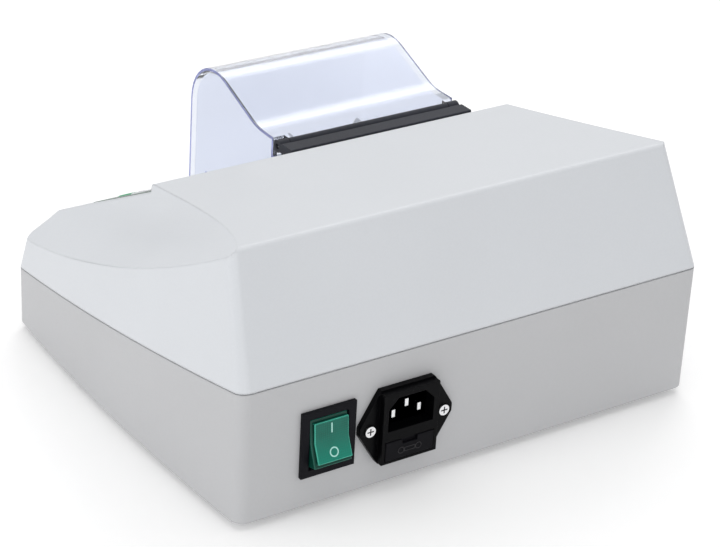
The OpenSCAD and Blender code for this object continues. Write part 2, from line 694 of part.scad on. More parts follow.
module motor_magnets() {
    r = motor_d / 2 - can_t - seat;
    color([0.20, 0.20, 0.21]) on_shaft() for (s = [-1, 1]) intersection() {
        difference() {
            rod_x(motor_x0 + 8, motor_x1 - 14, 2 * r);
            rod_x(motor_x0, motor_x1, 2 * r - 10);
        }
        translate([motor_x0, s > 0 ? magnet_gap / 2 : -magnet_gap / 2 - motor_d, -motor_d])
            cube([motor_l, motor_d, 2 * motor_d]);
    }
}
stack_start = 10;
stack_end = 18;
module rotor_core() {
    r = motor_d / 2 - can_t - seat - 5.8;
    color([0.48, 0.46, 0.44]) on_shaft() difference() {
        rod_x(motor_x0 + stack_start, motor_x1 - stack_end, 2 * r);
        rod_x(motor_x0, motor_x1, shaft_d + 0.02);
        for (a = [0:45:315]) rotate([a, 0, 0]) translate([motor_x0, r - 5, -1]) cube([motor_l, 8, 2]);
    }
}
module motor_shaft() {
    color(steel_colour) on_shaft() rod_x(hub_x - 7, motor_x1 + 1, shaft_d);
}
module shaft_bearings() {
    color([0.66, 0.67, 0.69]) on_shaft() for (x = [motor_x0 - boss_l + 1.2, motor_x1 - 5.2]) difference() {
        rod_x(x, x + bearing_w, bearing_od);
        rod_x(x - 1, x + bearing_w + 1, shaft_d + 0.08);
    }
}
hub_d = 18;
module on_hub() {
    on_arm() rotate([0, hub_tilt, 0]) children();
}
module oblique_hub() {
    color([0.70, 0.71, 0.73]) difference() {
        union() {
            on_hub() rod_x(-5.5, 5.5, hub_d);
            on_hub() rod_x(3.8, 6, hub_d + 3);
            on_shaft() rod_x(hub_x + 5, hub_x + 16, hub_d + 1);
        }
        on_shaft() rod_x(hub_x - 20, hub_x + 20, shaft_d + 0.02);
        on_shaft() translate([hub_x + 11.5, 0, 0]) cylinder(h = 20, d = 4.1);
    }
}
module hub_bearing() {
    ring_half = 3.6;
    color([0.66, 0.67, 0.69]) on_hub() {
        difference() {
            rod_x(-ring_half, ring_half, hub_d + 4.4);
            rod_x(-6, 6, hub_d + 0.02);
        }
        difference() {
            intersection() {
                sphere(r = ball_r, $fn = 64);
                rod_x(-ring_half, ring_half, 2 * ball_r + 2);
            }
            rod_x(-6, 6, hub_d + 7.4);
        }
        for (a = [0:36:324]) rotate([a, 0, 0]) translate([0, (hub_d + 5.9) / 2, 0]) sphere(d = 1.4, $fn = 16);
    }
}
module hub_set_screw() {
    color([0.25, 0.25, 0.27]) on_shaft() translate([hub_x + 11.5, 0, shaft_d / 2 + 0.1])
        cylinder(h = 5, d = 4);
}

plate_z = shaft_z - motor_d / 2 - 6;
plate_t = 2.5;
plate_x0 = motor_x0 + 4;
plate_x1 = motor_x1 - 8;
plate_half_y = motor_d / 2 + 12;
saddle_t = 5;
saddles = [motor_x0 + 18, motor_x1 - 30];
strap_band = 1.2;
strap_foot = 8;
strap_screw_places = [for (x = saddles, s = [-1, 1])
    [x + saddle_t / 2, shaft_y + s * (motor_d / 2 + strap_band + strap_foot / 2 + 0.4)]];
damper_places = [for (x = [plate_x0 + 7, plate_x1 - 7], s = [-1, 1]) [x, shaft_y + s * (plate_half_y - 7)]];
module motor_bracket() {
    color([0.68, 0.69, 0.70]) difference() {
        union() {
            translate([plate_x0, shaft_y - plate_half_y, plate_z])
                cube([plate_x1 - plate_x0, 2 * plate_half_y, plate_t]);
            for (x = saddles) translate([x, shaft_y - 24, plate_z]) cube([saddle_t, 48, 22]);
        }
        on_shaft() rod_x(motor_x0 - 5, motor_x1 + 5, motor_d + 0.1);
        for (p = damper_places) translate([p[0], p[1], plate_z - 1]) cylinder(h = plate_t + 2, d = 6.4);
        for (p = strap_screw_places) translate([p[0], p[1], plate_z - 1]) cylinder(h = plate_t + 2, d = 3.1);
    }
}
module motor_straps() {
    leg_y = motor_d / 2 - 0.4;
    base_z = plate_z + plate_t;
    color(steel_colour) for (x = saddles) difference() {
        union() {
            on_shaft() rod_x(x, x + saddle_t, motor_d + 0.2 + 2 * strap_band);
            for (s = [-1, 1]) {
                translate([x, shaft_y + (s > 0 ? leg_y : -leg_y - strap_band - 0.5), base_z])
                    cube([saddle_t, strap_band + 0.5, shaft_z - base_z]);
                translate([x, shaft_y + (s > 0 ? leg_y : -leg_y - strap_band - strap_foot), base_z])
                    cube([saddle_t, strap_band + strap_foot, strap_band]);
            }
        }
        on_shaft() rod_x(x - 1, x + saddle_t + 1, motor_d + 0.1);
        translate([x - 1, shaft_y - 26, plate_z]) cube([saddle_t + 2, 52, 24]);
        for (p = strap_screw_places) translate([p[0], p[1], plate_z]) cylinder(h = 10, d = 3.2);
    }
}
module motor_dampers() {
    h = plate_z - floor_z;
    color([0.15, 0.15, 0.16]) for (p = damper_places) translate([p[0], p[1], floor_z]) difference() {
        rotate_extrude() polygon([[0, 0], [6, 0], [6, h], [3.1, h], [3.1, h + plate_t], [5.4, h + plate_t],
            [5.4, h + plate_t + 2], [0, h + plate_t + 2]]);
        translate([0, 0, h - 8]) cylinder(h = 30, d = 3.1);
    }
}
module bracket_screws() {
    color(steel_colour) {
        for (p = damper_places) translate([p[0], p[1], plate_z + plate_t + 2])
            rotate([180, 0, 0]) screw_up(3, 10, 5.6, 1.8);
        for (p = strap_screw_places) translate([p[0], p[1], plate_z + plate_t + strap_band])
            rotate([180, 0, 0]) screw_up(3, 8, 5, 1.8);
    }
}

/* Control panel, in the slope's frame with the panel's top edge at y = 0 */
module on_panel() {
    on_slope() translate([panel_x, -panel_top, 0]) children();
}
plate_top = 0.3;
panel_t = plate_top + pocket;
window_w = 40;
window_l = 18;
window_y = -8 - window_l / 2;
key_rows = [-38, -53];
key_cols = [-15, 15];
key_places = [[key_cols[0], key_rows[0]], [key_cols[1], key_rows[0]], [key_cols[0], key_rows[1]],
    [key_cols[1], key_rows[1]]];
key_gap = 0.35;
key_up_h = 0.5;
key_flange_t = 1.2;
board_n = -13;
board_t = 1.6;
post_places = [for (x = [-1, 1], y = [-8, 7 - panel_l]) [x * (panel_w / 2 - 5), y]];
module control_panel() {
    color([0.26, 0.31, 0.31]) on_panel() difference() {
        union() {
            translate([-panel_w / 2, -panel_l, -pocket + eps]) cube([panel_w, panel_l, panel_t - eps]);
            for (p = post_places) translate([p[0], p[1], board_n + board_t])
                cylinder(h = -board_n - board_t - 0.5, d = 5.6);
        }
        translate([-window_w / 2, window_y - window_l / 2, -5]) cube([window_w, window_l, 8]);
        for (p = key_places) translate([p[0], p[1], -5]) cylinder(h = 8, d = key_d + 2 * key_gap);
        for (p = post_places) translate([p[0], p[1], board_n]) cylinder(h = 9, d = 2.5);
    }
}
module display_window() {
    color([0.07, 0.10, 0.10, 0.8]) on_panel() translate([-window_w / 2 + 0.15,
        window_y - window_l / 2 + 0.15, -pocket + 0.2])
        cube([window_w - 0.3, window_l - 0.3, panel_t]);
}
module display_module() {
    color([0.80, 0.80, 0.78]) on_panel() translate([-window_w / 2 + 2, window_y - window_l / 2 + 1.5,
        board_n + board_t])
        cube([window_w - 4, window_l - 3, -board_n - board_t - pocket - 0.2]);
}
module key(i) {
    p = key_places[i];
    on_panel() translate([p[0], p[1], 0]) rotate_extrude() polygon([[0, plate_top + key_up_h - 0.5],
        [key_d / 2 - 1.4, plate_top + key_up_h], [key_d / 2 - 0.4, plate_top + key_up_h - 0.3],
        [key_d / 2, plate_top + key_up_h - 1], [key_d / 2, -pocket - 0.2], [key_d / 2 + 1.1, -pocket - 0.2],
        [key_d / 2 + 1.1, -pocket - 0.2 - key_flange_t], [2, -pocket - 0.2 - key_flange_t],
        [2, board_n + board_t + 5], [0, board_n + board_t + 5]]);
}
module key_up() {
    color([0.90, 0.91, 0.91]) key(0);
}
module key_down() {
    color([0.90, 0.91, 0.91]) key(1);
}
module key_mode() {
    color([0.90, 0.91, 0.91]) key(2);
}
module key_start() {
    color([0.20, 0.60, 0.45]) key(3);
}
module key_switches() {
    color([0.12, 0.12, 0.13]) on_panel() for (p = key_places) translate([p[0], p[1], board_n + board_t]) {
        translate([-3, -3, 0]) cube([6, 6, 3.2]);
        translate([0, 0, 3.1]) cylinder(h = 0.8, d = 3.4);
    }
}
module control_board() {
    color(board_colour) on_panel() difference() {
        translate([1 - panel_w / 2, -panel_l + 3, board_n]) cube([panel_w - 2, panel_l - 6, board_t]);
        for (p = post_places) translate([p[0], p[1], board_n - 1]) cylinder(h = 4, d = 2.7);
    }
}
module board_screws() {
    color(steel_colour) on_panel() for (p = post_places) translate([p[0], p[1], board_n])
        screw_up(2.4, 7, 4.4, 1.4);
}

/* Mains switch */
opening_w = bezel_w - 5.6;
opening_h = bezel_h - 3.6;
rocker_w = opening_w - 0.8;
module switch_body() {
    color(black_plastic) translate([switch_x, rear_y, switch_z]) difference() {
        union() {
            translate([-bezel_w / 2, 0, -bezel_h / 2]) cube([bezel_w, bezel_t, bezel_h]);
            translate([-switch_body_w / 2, -switch_depth, -switch_body_h / 2])
                cube([switch_body_w, switch_depth + 1, switch_body_h]);
        }
        rod_x(-opening_w / 2, opening_w / 2, opening_h);
        translate([-opening_w / 2, -1, -opening_h / 2]) cube([opening_w, bezel_t + 2, opening_h]);
        rod_x(-opening_w / 2 - 1.4, opening_w / 2 + 1.4, 3.1);
        for (z = [-9, 0, 9]) translate([-3.2, -switch_depth - 1, z - 0.45]) cube([6.4, 6, 0.9]);
    }
}
// The rocker in the place that the photograph shows, its upper end pressed in
module switch_rocker() {
    face = rocker_arc_r - 0.6;
    color([0.10, 0.55, 0.42]) translate([switch_x, rear_y, switch_z]) rotate([rocker_swing / 2, 0, 0]) {
        along_x(-rocker_w / 2, rocker_w / 2) intersection() {
            circle(r = rocker_arc_r, $fn = 96);
            polygon([[-5, -20], [rocker_end_y, -face], [2, 0], [rocker_end_y, face], [-5, 20]]);
            translate([-5, -face]) square([rocker_end_y + 6, 2 * face]);
        }
        rod_x(-rocker_w / 2 - 1.6, rocker_w / 2 + 1.6, 3);
    }
}
module switch_terminals() {
    color(brass_colour) translate([switch_x, rear_y - switch_depth, switch_z]) for (z = [-9, 0, 9])
        translate([-3.1, -9, z - 0.4]) cube([6.2, 13, 0.8]);
}

/* Mains inlet */
socket_w = 24.4;
socket_h = 16.6;
socket_dz = 7;
socket_depth = 16;
drawer_w = 26;
drawer_h = 9.6;
drawer_dz = -11.6;
drawer_l = 20;
drawer_plate = 2;
socket_outline = [[-socket_w / 2, -socket_h / 2], [socket_w / 2, -socket_h / 2],
    [socket_w / 2, socket_h / 2 - 5],
    [socket_w / 2 - 5, socket_h / 2], [-socket_w / 2 + 5, socket_h / 2], [-socket_w / 2, socket_h / 2 - 5]];
block_w = 33;
flange_outline = [[inlet_w / 2, -2], [inlet_w / 2, 2], [block_w / 2, inlet_h / 2 - 3],
    [block_w / 2 - 2, inlet_h / 2],
    [2 - block_w / 2, inlet_h / 2], [-block_w / 2, inlet_h / 2 - 3], [-inlet_w / 2, 2], [-inlet_w / 2, -2],
    [-block_w / 2, 3 - inlet_h / 2], [2 - block_w / 2, -inlet_h / 2], [block_w / 2 - 2, -inlet_h / 2],
    [block_w / 2, 3 - inlet_h / 2]];
// Frame of the inlet: X across, Y up, +Z out of the rear wall
module on_inlet() {
    translate([inlet_x, rear_y, inlet_z]) rotate([90, 0, 180]) children();
}
module inlet_body() {
    color(black_plastic) on_inlet() difference() {
        union() {
            linear_extrude(height = inlet_flange_t)
                polygon(rounded(flange_outline, [2, 2, 0, 1, 1, 0, 2, 2, 0, 1, 1, 0], 4));
            translate([-block_w / 2 + 1.5, -inlet_h / 2 + 1, 0])
                cube([block_w - 3, inlet_h - 2, inlet_reach]);
            translate([-inlet_body_w / 2, -inlet_body_h / 2, -inlet_depth])
                cube([inlet_body_w, inlet_body_h, inlet_depth + 1]);
        }
        translate([0, socket_dz, inlet_reach - socket_depth]) linear_extrude(height = socket_depth + 1)
            polygon(socket_outline);
        translate([-drawer_w / 2 - 0.3, drawer_dz - drawer_h / 2 - 0.3, inlet_reach - drawer_plate - 0.3])
            cube([drawer_w + 0.6, drawer_h + 0.6, 10]);
        translate([-drawer_w / 2 + 0.7, drawer_dz - drawer_h / 2 + 0.7,
            inlet_reach - drawer_plate - drawer_l - 0.3])
            cube([drawer_w - 1.4, drawer_h - 1.4, drawer_l + 5]);
        for (s = [-1, 1]) translate([s * inlet_screw_gap / 2, 0, -1]) {
            cylinder(h = inlet_flange_t + 2, d = screw_d + 0.4);
            translate([0, 0, inlet_flange_t]) cylinder(h = 3, d = 5.8);
        }
        for (p = pin_places) translate([p[0] - 2.1, p[1] - 1.1, -inlet_depth - 1]) cube([4.2, 2.2, 20]);
    }
}
pin_places = [[-7, socket_dz - 2], [7, socket_dz - 2], [0, socket_dz + 2]];
module inlet_pins() {
    color(steel_colour) on_inlet() for (p = pin_places) {
        translate([p[0] - 2, p[1] - 1, -inlet_depth - 1]) cube([4, 2, inlet_depth + inlet_reach - 3]);
        translate([p[0] - 3.15, p[1] - 0.4, -inlet_depth - 9]) cube([6.3, 0.8, 8.5]);
    }
}
module inlet_screws() {
    color(steel_colour) on_inlet() for (s = [-1, 1]) translate([s * inlet_screw_gap / 2, 0, inlet_flange_t])
        rotate([180, 0, 0]) screw_up(screw_d, wall + inlet_flange_t + 4, 5.4, 1.2);
}
module inlet_nuts() {
    color(steel_colour) on_inlet() for (s = [-1, 1]) translate([s * inlet_screw_gap / 2, 0, -wall - 2.4])
        difference() {
        cylinder(h = 2.4, d = 6.4, $fn = 6);
        translate([0, 0, -1]) cylinder(h = 5, d = screw_d + 0.05);
    }
}
module fuse_drawer() {
    clear = 1;
    bw = drawer_w - 1.4 - 0.6;
    bh = drawer_h - 1.4 - 0.6;
    color([0.12, 0.12, 0.13]) on_inlet() translate([0, drawer_dz, inlet_reach - drawer_plate]) difference() {
        union() {
            translate([-drawer_w / 2, -drawer_h / 2, 0]) cube([drawer_w, drawer_h, drawer_plate + 0.3]);
            translate([-bw / 2, -bh / 2, -drawer_l]) cube([bw, bh, drawer_l + 0.5]);
        }
        translate([-bw / 2 + 1, -bh / 2 + 1, -drawer_l + 1.2]) cube([bw - 2, bh, 6.4]);
        translate([-bw / 2 + 1, -bh / 2 + 1, -drawer_l + 9]) cube([bw - 2, bh, 6.4]);
        translate([-4, drawer_h / 2 - 2.4, 0.8]) cube([8, 4, 3]);
    }
}
module fuses() {
    color([0.82, 0.84, 0.85]) on_inlet() for (k = [0, 1])
        translate([0, drawer_dz - (drawer_h - 2) / 2 + 1 + 2.6 + 0.05,
            inlet_reach - drawer_plate - drawer_l + 4.4 + k * 7.8])
        rod_x(-10, 10, 5.1);
}

/* Power supply */
core_size = [46, 40, 38];
core_in = 26;
core_back = 26;
core_place = [-half_w + core_in, rear_y - core_back - core_size[1]];
core_stand = 4;
core_screw_places = [for (x = [-4, core_size[0] + 4]) [core_place[0] + x, core_place[1] + core_size[1] / 2]];
module transformer_core() {
    color([0.36, 0.37, 0.40]) translate([core_place[0], core_place[1], floor_z + core_stand]) difference() {
        union() {
            translate([0, 6, 0]) cube([core_size[0], core_size[1] - 12, core_size[2]]);
            translate([-8, 6, 0]) cube([core_size[0] + 16, core_size[1] - 12, 1.6]);
        }
        for (x = [8, core_size[0] - 19]) translate([x, 0, 8]) cube([11, core_size[1], core_size[2] - 16]);
        for (x = [-4, core_size[0] + 4]) translate([x, core_size[1] / 2, -1]) cylinder(h = 4, d = 3.6);
    }
}
module transformer_coil() {
    color([0.78, 0.66, 0.30]) translate([core_place[0], core_place[1], floor_z + core_stand]) difference() {
        translate([8.2, 0, 8.2]) cube([core_size[0] - 16.4, core_size[1], core_size[2] - 16.4]);
        translate([19 - 0.2, 5.8, 0]) cube([core_size[0] - 38 + 0.4, core_size[1] - 11.6, core_size[2]]);
    }
}
module transformer_screws() {
    color(steel_colour) for (p = core_screw_places) translate([p[0], p[1], floor_z + core_stand + 1.6])
        rotate([180, 0, 0]) screw_up(3, 7, 5.6, 1.8);
}
board_size = [64, 60];
board_gap = 5;
board_in = 45;
board_corner = [hub_x - post_plate_d / 2 - board_gap - board_size[0], front_y + board_in];
board_places = [for (x = [5, board_size[0] - 5], y = [5, board_size[1] - 5]) board_corner + [x, y]];
board_stand = 7;
power_board_z = floor_z + board_stand;
// Posts that the base carries on its floor: for the power board, the transformer and the dampers
module base_posts() {
    upright(board_places, foot_h, floor_t + board_stand, 6);
    upright(core_screw_places, foot_h, floor_t + core_stand, 8);
}
module power_board() {
    color(board_colour) difference() {
        translate([board_corner[0], board_corner[1], power_board_z])
            cube([board_size[0], board_size[1], 1.6]);
        for (p = board_places) translate([p[0], p[1], power_board_z - 1]) cylinder(h = 4, d = 3.2);
    }
}
module power_parts() {
    z = power_board_z + 1.6;
    color([0.16, 0.17, 0.20]) {
        translate([board_corner[0] + 12, board_corner[1] + 14, z]) cylinder(h = 14, d = 12);
        translate([board_corner[0] + 24, board_corner[1] + 9, z]) cube([19, 15, 12]);
        translate([board_corner[0] + 6, board_corner[1] + 30, z]) cube([12, 16, 9]);
        translate([board_corner[0] + 24, board_corner[1] + 32, z]) cube([22, 8, 10]);
        translate([board_corner[0] + 44, board_corner[1] + 48, z]) cylinder(h = 11, d = 8);
    }
}

base_shell();
top_cover();
rubber_feet();
foot_screws();
case_screws();
hinge_bar();
hinge_bar_screws();
hinge_pin();
lid_shell();
lid_magnet();
lid_sensor();
mixing_well();
slot_gasket();
swing_arm();
capsule_clip();
clip_screws();
anchor_spring();
spring_post();
motor_can();
motor_end_cap();
motor_magnets();
rotor_core();
motor_shaft();
shaft_bearings();
oblique_hub();
hub_bearing();
hub_set_screw();
motor_bracket();
motor_straps();
motor_dampers();
bracket_screws();
control_panel();
display_window();
display_module();
key_up();
key_down();
key_mode();
key_start();
key_switches();
control_board();
board_screws();
switch_body();
switch_rocker();
switch_terminals();
inlet_body();
inlet_pins();
inlet_screws();
inlet_nuts();
fuse_drawer();
fuses();
transformer_core();
transformer_coil();
transformer_screws();
power_board();
power_parts();
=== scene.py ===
import math

import bmesh
import bpy
from mathutils import Matrix, Vector


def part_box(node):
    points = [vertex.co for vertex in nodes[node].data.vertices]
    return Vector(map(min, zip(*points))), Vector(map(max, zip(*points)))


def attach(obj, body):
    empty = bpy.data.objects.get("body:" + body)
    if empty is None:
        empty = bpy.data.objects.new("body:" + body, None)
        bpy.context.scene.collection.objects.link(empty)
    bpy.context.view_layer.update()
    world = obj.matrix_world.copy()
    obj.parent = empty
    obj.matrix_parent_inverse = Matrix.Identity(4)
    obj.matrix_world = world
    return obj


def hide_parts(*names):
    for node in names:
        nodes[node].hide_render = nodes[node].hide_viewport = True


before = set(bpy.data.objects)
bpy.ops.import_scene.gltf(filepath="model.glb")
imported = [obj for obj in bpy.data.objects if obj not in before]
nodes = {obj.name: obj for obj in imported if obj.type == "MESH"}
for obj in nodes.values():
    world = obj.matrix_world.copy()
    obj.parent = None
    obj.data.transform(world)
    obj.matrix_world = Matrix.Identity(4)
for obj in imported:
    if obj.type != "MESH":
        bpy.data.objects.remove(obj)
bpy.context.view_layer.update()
mm = 0.001
print("frame loaded:", len(nodes), "nodes")


def middleOf(nodeName):
    low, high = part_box(nodeName)
    return (Vector(low) + Vector(high)) / 2


def link(tree, source, target):
    tree.links.new(source, target)


def newMaterial(name):
    material = bpy.data.materials.new(name)
    material.use_nodes = True
    tree = material.node_tree
    return material, tree, tree.nodes["Principled BSDF"]


def addNode(tree, kind, **values):
    made = tree.nodes.new(kind)
    for key, value in values.items():
        setattr(made, key, value)
    return made


def objectCoords(tree, stretch=(1, 1, 1)):
    coords = addNode(tree, "ShaderNodeTexCoord")
    mapping = addNode(tree, "ShaderNodeMapping")
    mapping.inputs["Scale"].default_value = stretch
    link(tree, coords.outputs["Object"], mapping.inputs["Vector"])
    return mapping.outputs["Vector"]


def noise(tree, vector, scale, detail=2.0, roughness=0.5):
    made = addNode(tree, "ShaderNodeTexNoise")
    made.inputs["Scale"].default_value = scale
    made.inputs["Detail"].default_value = detail
    made.inputs["Roughness"].default_value = roughness
    link(tree, vector, made.inputs["Vector"])
    return made.outputs["Fac"]


def remap(tree, value, low, high, fromLow=0.3, fromHigh=0.7):
    made = addNode(tree, "ShaderNodeMapRange")
    made.inputs["From Min"].default_value = fromLow
    made.inputs["From Max"].default_value = fromHigh
    made.inputs["To Min"].default_value = low
    made.inputs["To Max"].default_value = high
    link(tree, value, made.inputs["Value"])
    return made.outputs["Result"]


def blendColours(tree, factor, first, second):
    made = addNode(tree, "ShaderNodeMix", data_type="RGBA")
    for place, colour in ((6, first), (7, second)):
        if isinstance(colour, (tuple, list)):
            made.inputs[place].default_value = (*colour[:3], 1)
        else:
            link(tree, colour, made.inputs[place])
    link(tree, factor, made.inputs[0])
    return made.outputs[2]


# A wave node's scale that repeats its bands once in this many millimetres
def bandScale(pitch):
    return 1 / (pitch * mm) / 6.28


def bumpFrom(tree, height, strength, distance, below=None):
    made = addNode(tree, "ShaderNodeBump")
    made.inputs["Strength"].default_value = strength
    made.inputs["Distance"].default_value = distance
    link(tree, height, made.inputs["Height"])
    if below is not None:
        link(tree, below, made.inputs["Normal"])
    return made.outputs["Normal"]


def rectangle(width, height, middle=(0, 0)):
    x, y = middle
    return [(x + a * width / 2, y + b * height / 2) for a, b in ((-1, -1), (1, -1), (1, 1), (-1, 1))]


def circle(radius, steps, middle=(0, 0)):
    x, y = middle
    turns = [math.tau * k / steps for k in range(steps)]
    return [(x + radius * math.cos(turn), y + radius * math.sin(turn)) for turn in turns]


def shade(colour, amount):
    return tuple(max(0.0, min(1.0, part * amount)) for part in colour)


# Finishes: every one is a node material that reads Object coordinates


# Colour drifts slowly by a share of itself, grain is per metre, its depth and the rounding in millimetres
def mouldedPlastic(name, colour, rough=0.5, grain=1500, grainDepth=0.02, drift=0.03, gloss=0.5, rounding=0.0):
    material, tree, shader = newMaterial(name)
    place = objectCoords(tree)
    broad = noise(tree, place, 14, 3)
    fine = noise(tree, place, grain, 2, 0.6)
    tone = blendColours(tree, remap(tree, broad, 0, 1), shade(colour, 1 - drift), shade(colour, 1 + drift))
    speck = remap(tree, noise(tree, place, grain * 0.6, 1), 0, 0.04, 0.35, 0.65)
    tone = blendColours(tree, speck, tone, shade(colour, 0.7))
    link(tree, tone, shader.inputs["Base Color"])
    link(tree, remap(tree, fine, rough - 0.05, rough + 0.06), shader.inputs["Roughness"])
    shader.inputs["Specular IOR Level"].default_value = gloss
    corners = None
    if rounding:
        softEdge = addNode(tree, "ShaderNodeBevel", samples=6)
        softEdge.inputs["Radius"].default_value = rounding * mm
        corners = softEdge.outputs["Normal"]
    waves = bumpFrom(tree, noise(tree, place, 60, 2), 0.05, 0.2 * mm, corners)
    link(tree, bumpFrom(tree, fine, 0.35, grainDepth * mm, waves), shader.inputs["Normal"])
    return material


def rubberSkin(name, colour, rough=0.75):
    material, tree, shader = newMaterial(name)
    place = objectCoords(tree)
    dust = remap(tree, noise(tree, place, 220, 4, 0.65), 0, 0.35, 0.5, 0.75)
    link(tree, blendColours(tree, dust, colour, shade(colour, 2.4)), shader.inputs["Base Color"])
    link(tree, remap(tree, noise(tree, place, 500, 3), rough - 0.1, rough + 0.1), shader.inputs["Roughness"])
    link(tree, bumpFrom(tree, noise(tree, place, 900, 3), 0.4, 0.04 * mm), shader.inputs["Normal"])
    return material


def workedMetal(name, colour, rough=0.28, stretch=(1, 1, 1), scale=900, lineDepth=0.01, stain=0.12):
    material, tree, shader = newMaterial(name)
    place = objectCoords(tree, stretch)
    plain = objectCoords(tree)
    lines = noise(tree, place, scale, 3, 0.6)
    patch = noise(tree, plain, 90, 4, 0.6)
    tone = blendColours(tree, remap(tree, patch, 0, 1), shade(colour, 1 - stain), shade(colour, 1 + stain * 0.4))
    tone = blendColours(tree, remap(tree, lines, 0, 0.3), tone, shade(colour, 0.75))
    link(tree, tone, shader.inputs["Base Color"])
    shader.inputs["Metallic"].default_value = 1.0
    link(tree, remap(tree, lines, max(0.04, rough - 0.08), rough + 0.12), shader.inputs["Roughness"])
    link(tree, bumpFrom(tree, lines, 0.3, lineDepth * mm), shader.inputs["Normal"])
    return material


def platedSheet(name, colour, rough=0.35, spangle=160):
    material, tree, shader = newMaterial(name)
    place = objectCoords(tree)
    cells = addNode(tree, "ShaderNodeTexVoronoi")
    cells.inputs["Scale"].default_value = spangle
    link(tree, place, cells.inputs["Vector"])
    tone = blendColours(tree, cells.outputs["Distance"], shade(colour, 1.08), shade(colour, 0.82))
    link(tree, tone, shader.inputs["Base Color"])
    shader.inputs["Metallic"].default_value = 1.0
    link(tree, remap(tree, noise(tree, place, 240, 3), rough - 0.08, rough + 0.1), shader.inputs["Roughness"])
    link(tree, bumpFrom(tree, noise(tree, place, 700, 3), 0.25, 0.015 * mm), shader.inputs["Normal"])
    return material


def laminations(name, colour, pitch=0.5):
    material, tree, shader = newMaterial(name)
    place = objectCoords(tree)
    bands = addNode(tree, "ShaderNodeTexWave", wave_type="BANDS", bands_direction="Y")
    bands.inputs["Scale"].default_value = bandScale(pitch)
    bands.inputs["Distortion"].default_value = 0.6
    link(tree, place, bands.inputs["Vector"])
    tone = blendColours(tree, bands.outputs["Fac"], shade(colour, 0.6), shade(colour, 1.3))
    link(tree, tone, shader.inputs["Base Color"])
    shader.inputs["Metallic"].default_value = 0.7
    link(tree, remap(tree, noise(tree, place, 300, 3), 0.35, 0.6), shader.inputs["Roughness"])
    link(tree, bumpFrom(tree, bands.outputs["Fac"], 0.5, 0.05 * mm), shader.inputs["Normal"])
    return material


def clearSheet(name, colour, rough, ior, haze, coat=0.0):
    material, tree, shader = newMaterial(name)
    place = objectCoords(tree)
    smear = noise(tree, place, 26, 4, 0.6)
    tone = blendColours(tree, remap(tree, smear, 0, 1), shade(colour, 0.985), colour)
    link(tree, tone, shader.inputs["Base Color"])
    shader.inputs["Transmission Weight"].default_value = 1.0
    shader.inputs["IOR"].default_value = ior
    link(tree, remap(tree, smear, rough, rough + haze), shader.inputs["Roughness"])
    link(tree, bumpFrom(tree, noise(tree, place, 40, 2), 0.04, 0.4 * mm), shader.inputs["Normal"])
    if coat:
        shader.inputs["Coat Weight"].default_value = coat
        shader.inputs["Coat Roughness"].default_value = 0.22
    return material


def tintedEdge(name, colour):
    material, tree, shader = newMaterial(name)
    place = objectCoords(tree)
    patch = remap(tree, noise(tree, place, 60, 3), 0, 1)
    link(tree, blendColours(tree, patch, shade(colour, 0.8), shade(colour, 1.25)), shader.inputs["Base Color"])
    shader.inputs["Transmission Weight"].default_value = 0.35
    shader.inputs["IOR"].default_value = 1.45
    link(tree, remap(tree, noise(tree, place, 900, 2), 0.12, 0.25), shader.inputs["Roughness"])
    link(tree, bumpFrom(tree, noise(tree, place, 1200, 2), 0.2, 0.02 * mm), shader.inputs["Normal"])
    return material


def solderMask(name, colour):
    material, tree, shader = newMaterial(name)
    place = objectCoords(tree)
    tracks = addNode(tree, "ShaderNodeTexBrick", offset=0.35)
    tracks.inputs["Scale"].default_value = 130
    tracks.inputs["Mortar Size"].default_value = 0.03
    tracks.inputs["Color1"].default_value = (*colour, 1)
    tracks.inputs["Color2"].default_value = (*shade(colour, 0.8), 1)
    tracks.inputs["Mortar"].default_value = (*shade(colour, 1.9), 1)
    link(tree, place, tracks.inputs["Vector"])
    link(tree, tracks.outputs["Color"], shader.inputs["Base Color"])
    link(tree, remap(tree, noise(tree, place, 400, 2), 0.22, 0.4), shader.inputs["Roughness"])
    link(tree, bumpFrom(tree, tracks.outputs["Fac"], 0.3, 0.03 * mm), shader.inputs["Normal"])
    return material


# Green rocker plastic with small prisms behind its face; below a given height it is painted paler, which is
# painted light on the cap's lower half, the half that faces up
def prismGreen(name, colour, pitch=0.55, paintedLightFade=(0.0, 0.001)):
    material, tree, shader = newMaterial(name)
    place = objectCoords(tree)
    waves = []
    for direction in ("X", "Z"):
        band = addNode(tree, "ShaderNodeTexWave", wave_type="BANDS", bands_direction=direction, wave_profile="TRI")
        band.inputs["Scale"].default_value = bandScale(pitch)
        link(tree, place, band.inputs["Vector"])
        waves.append(band.outputs["Fac"])
    prisms = addNode(tree, "ShaderNodeMath", operation="MULTIPLY")
    link(tree, waves[0], prisms.inputs[0])
    link(tree, waves[1], prisms.inputs[1])
    cloud = remap(tree, noise(tree, place, 120, 3), 0, 1)
    tone = blendColours(tree, cloud, shade(colour, 0.85), shade(colour, 1.15))
    height = addNode(tree, "ShaderNodeSeparateXYZ")
    link(tree, place, height.inputs[0])
    # Painted light: paler below the given height
    paintedLightBelow = remap(tree, height.outputs["Z"], 1, 0, *paintedLightFade)
    tone = blendColours(tree, paintedLightBelow, tone, shade(colour, 2.1))
    tone = blendColours(tree, prisms.outputs[0], tone, shade(colour, 1.5))
    link(tree, tone, shader.inputs["Base Color"])
    shader.inputs["Transmission Weight"].default_value = 0.15
    shader.inputs["IOR"].default_value = 1.5
    shader.inputs["Specular IOR Level"].default_value = 0.2
    shader.inputs["Coat Weight"].default_value = 0.12
    shader.inputs["Coat Roughness"].default_value = 0.12
    link(tree, remap(tree, prisms.outputs[0], 0.3, 0.45, 0, 1), shader.inputs["Roughness"])
    link(tree, bumpFrom(tree, prisms.outputs[0], 0.35, 0.08 * mm), shader.inputs["Normal"])
    return material


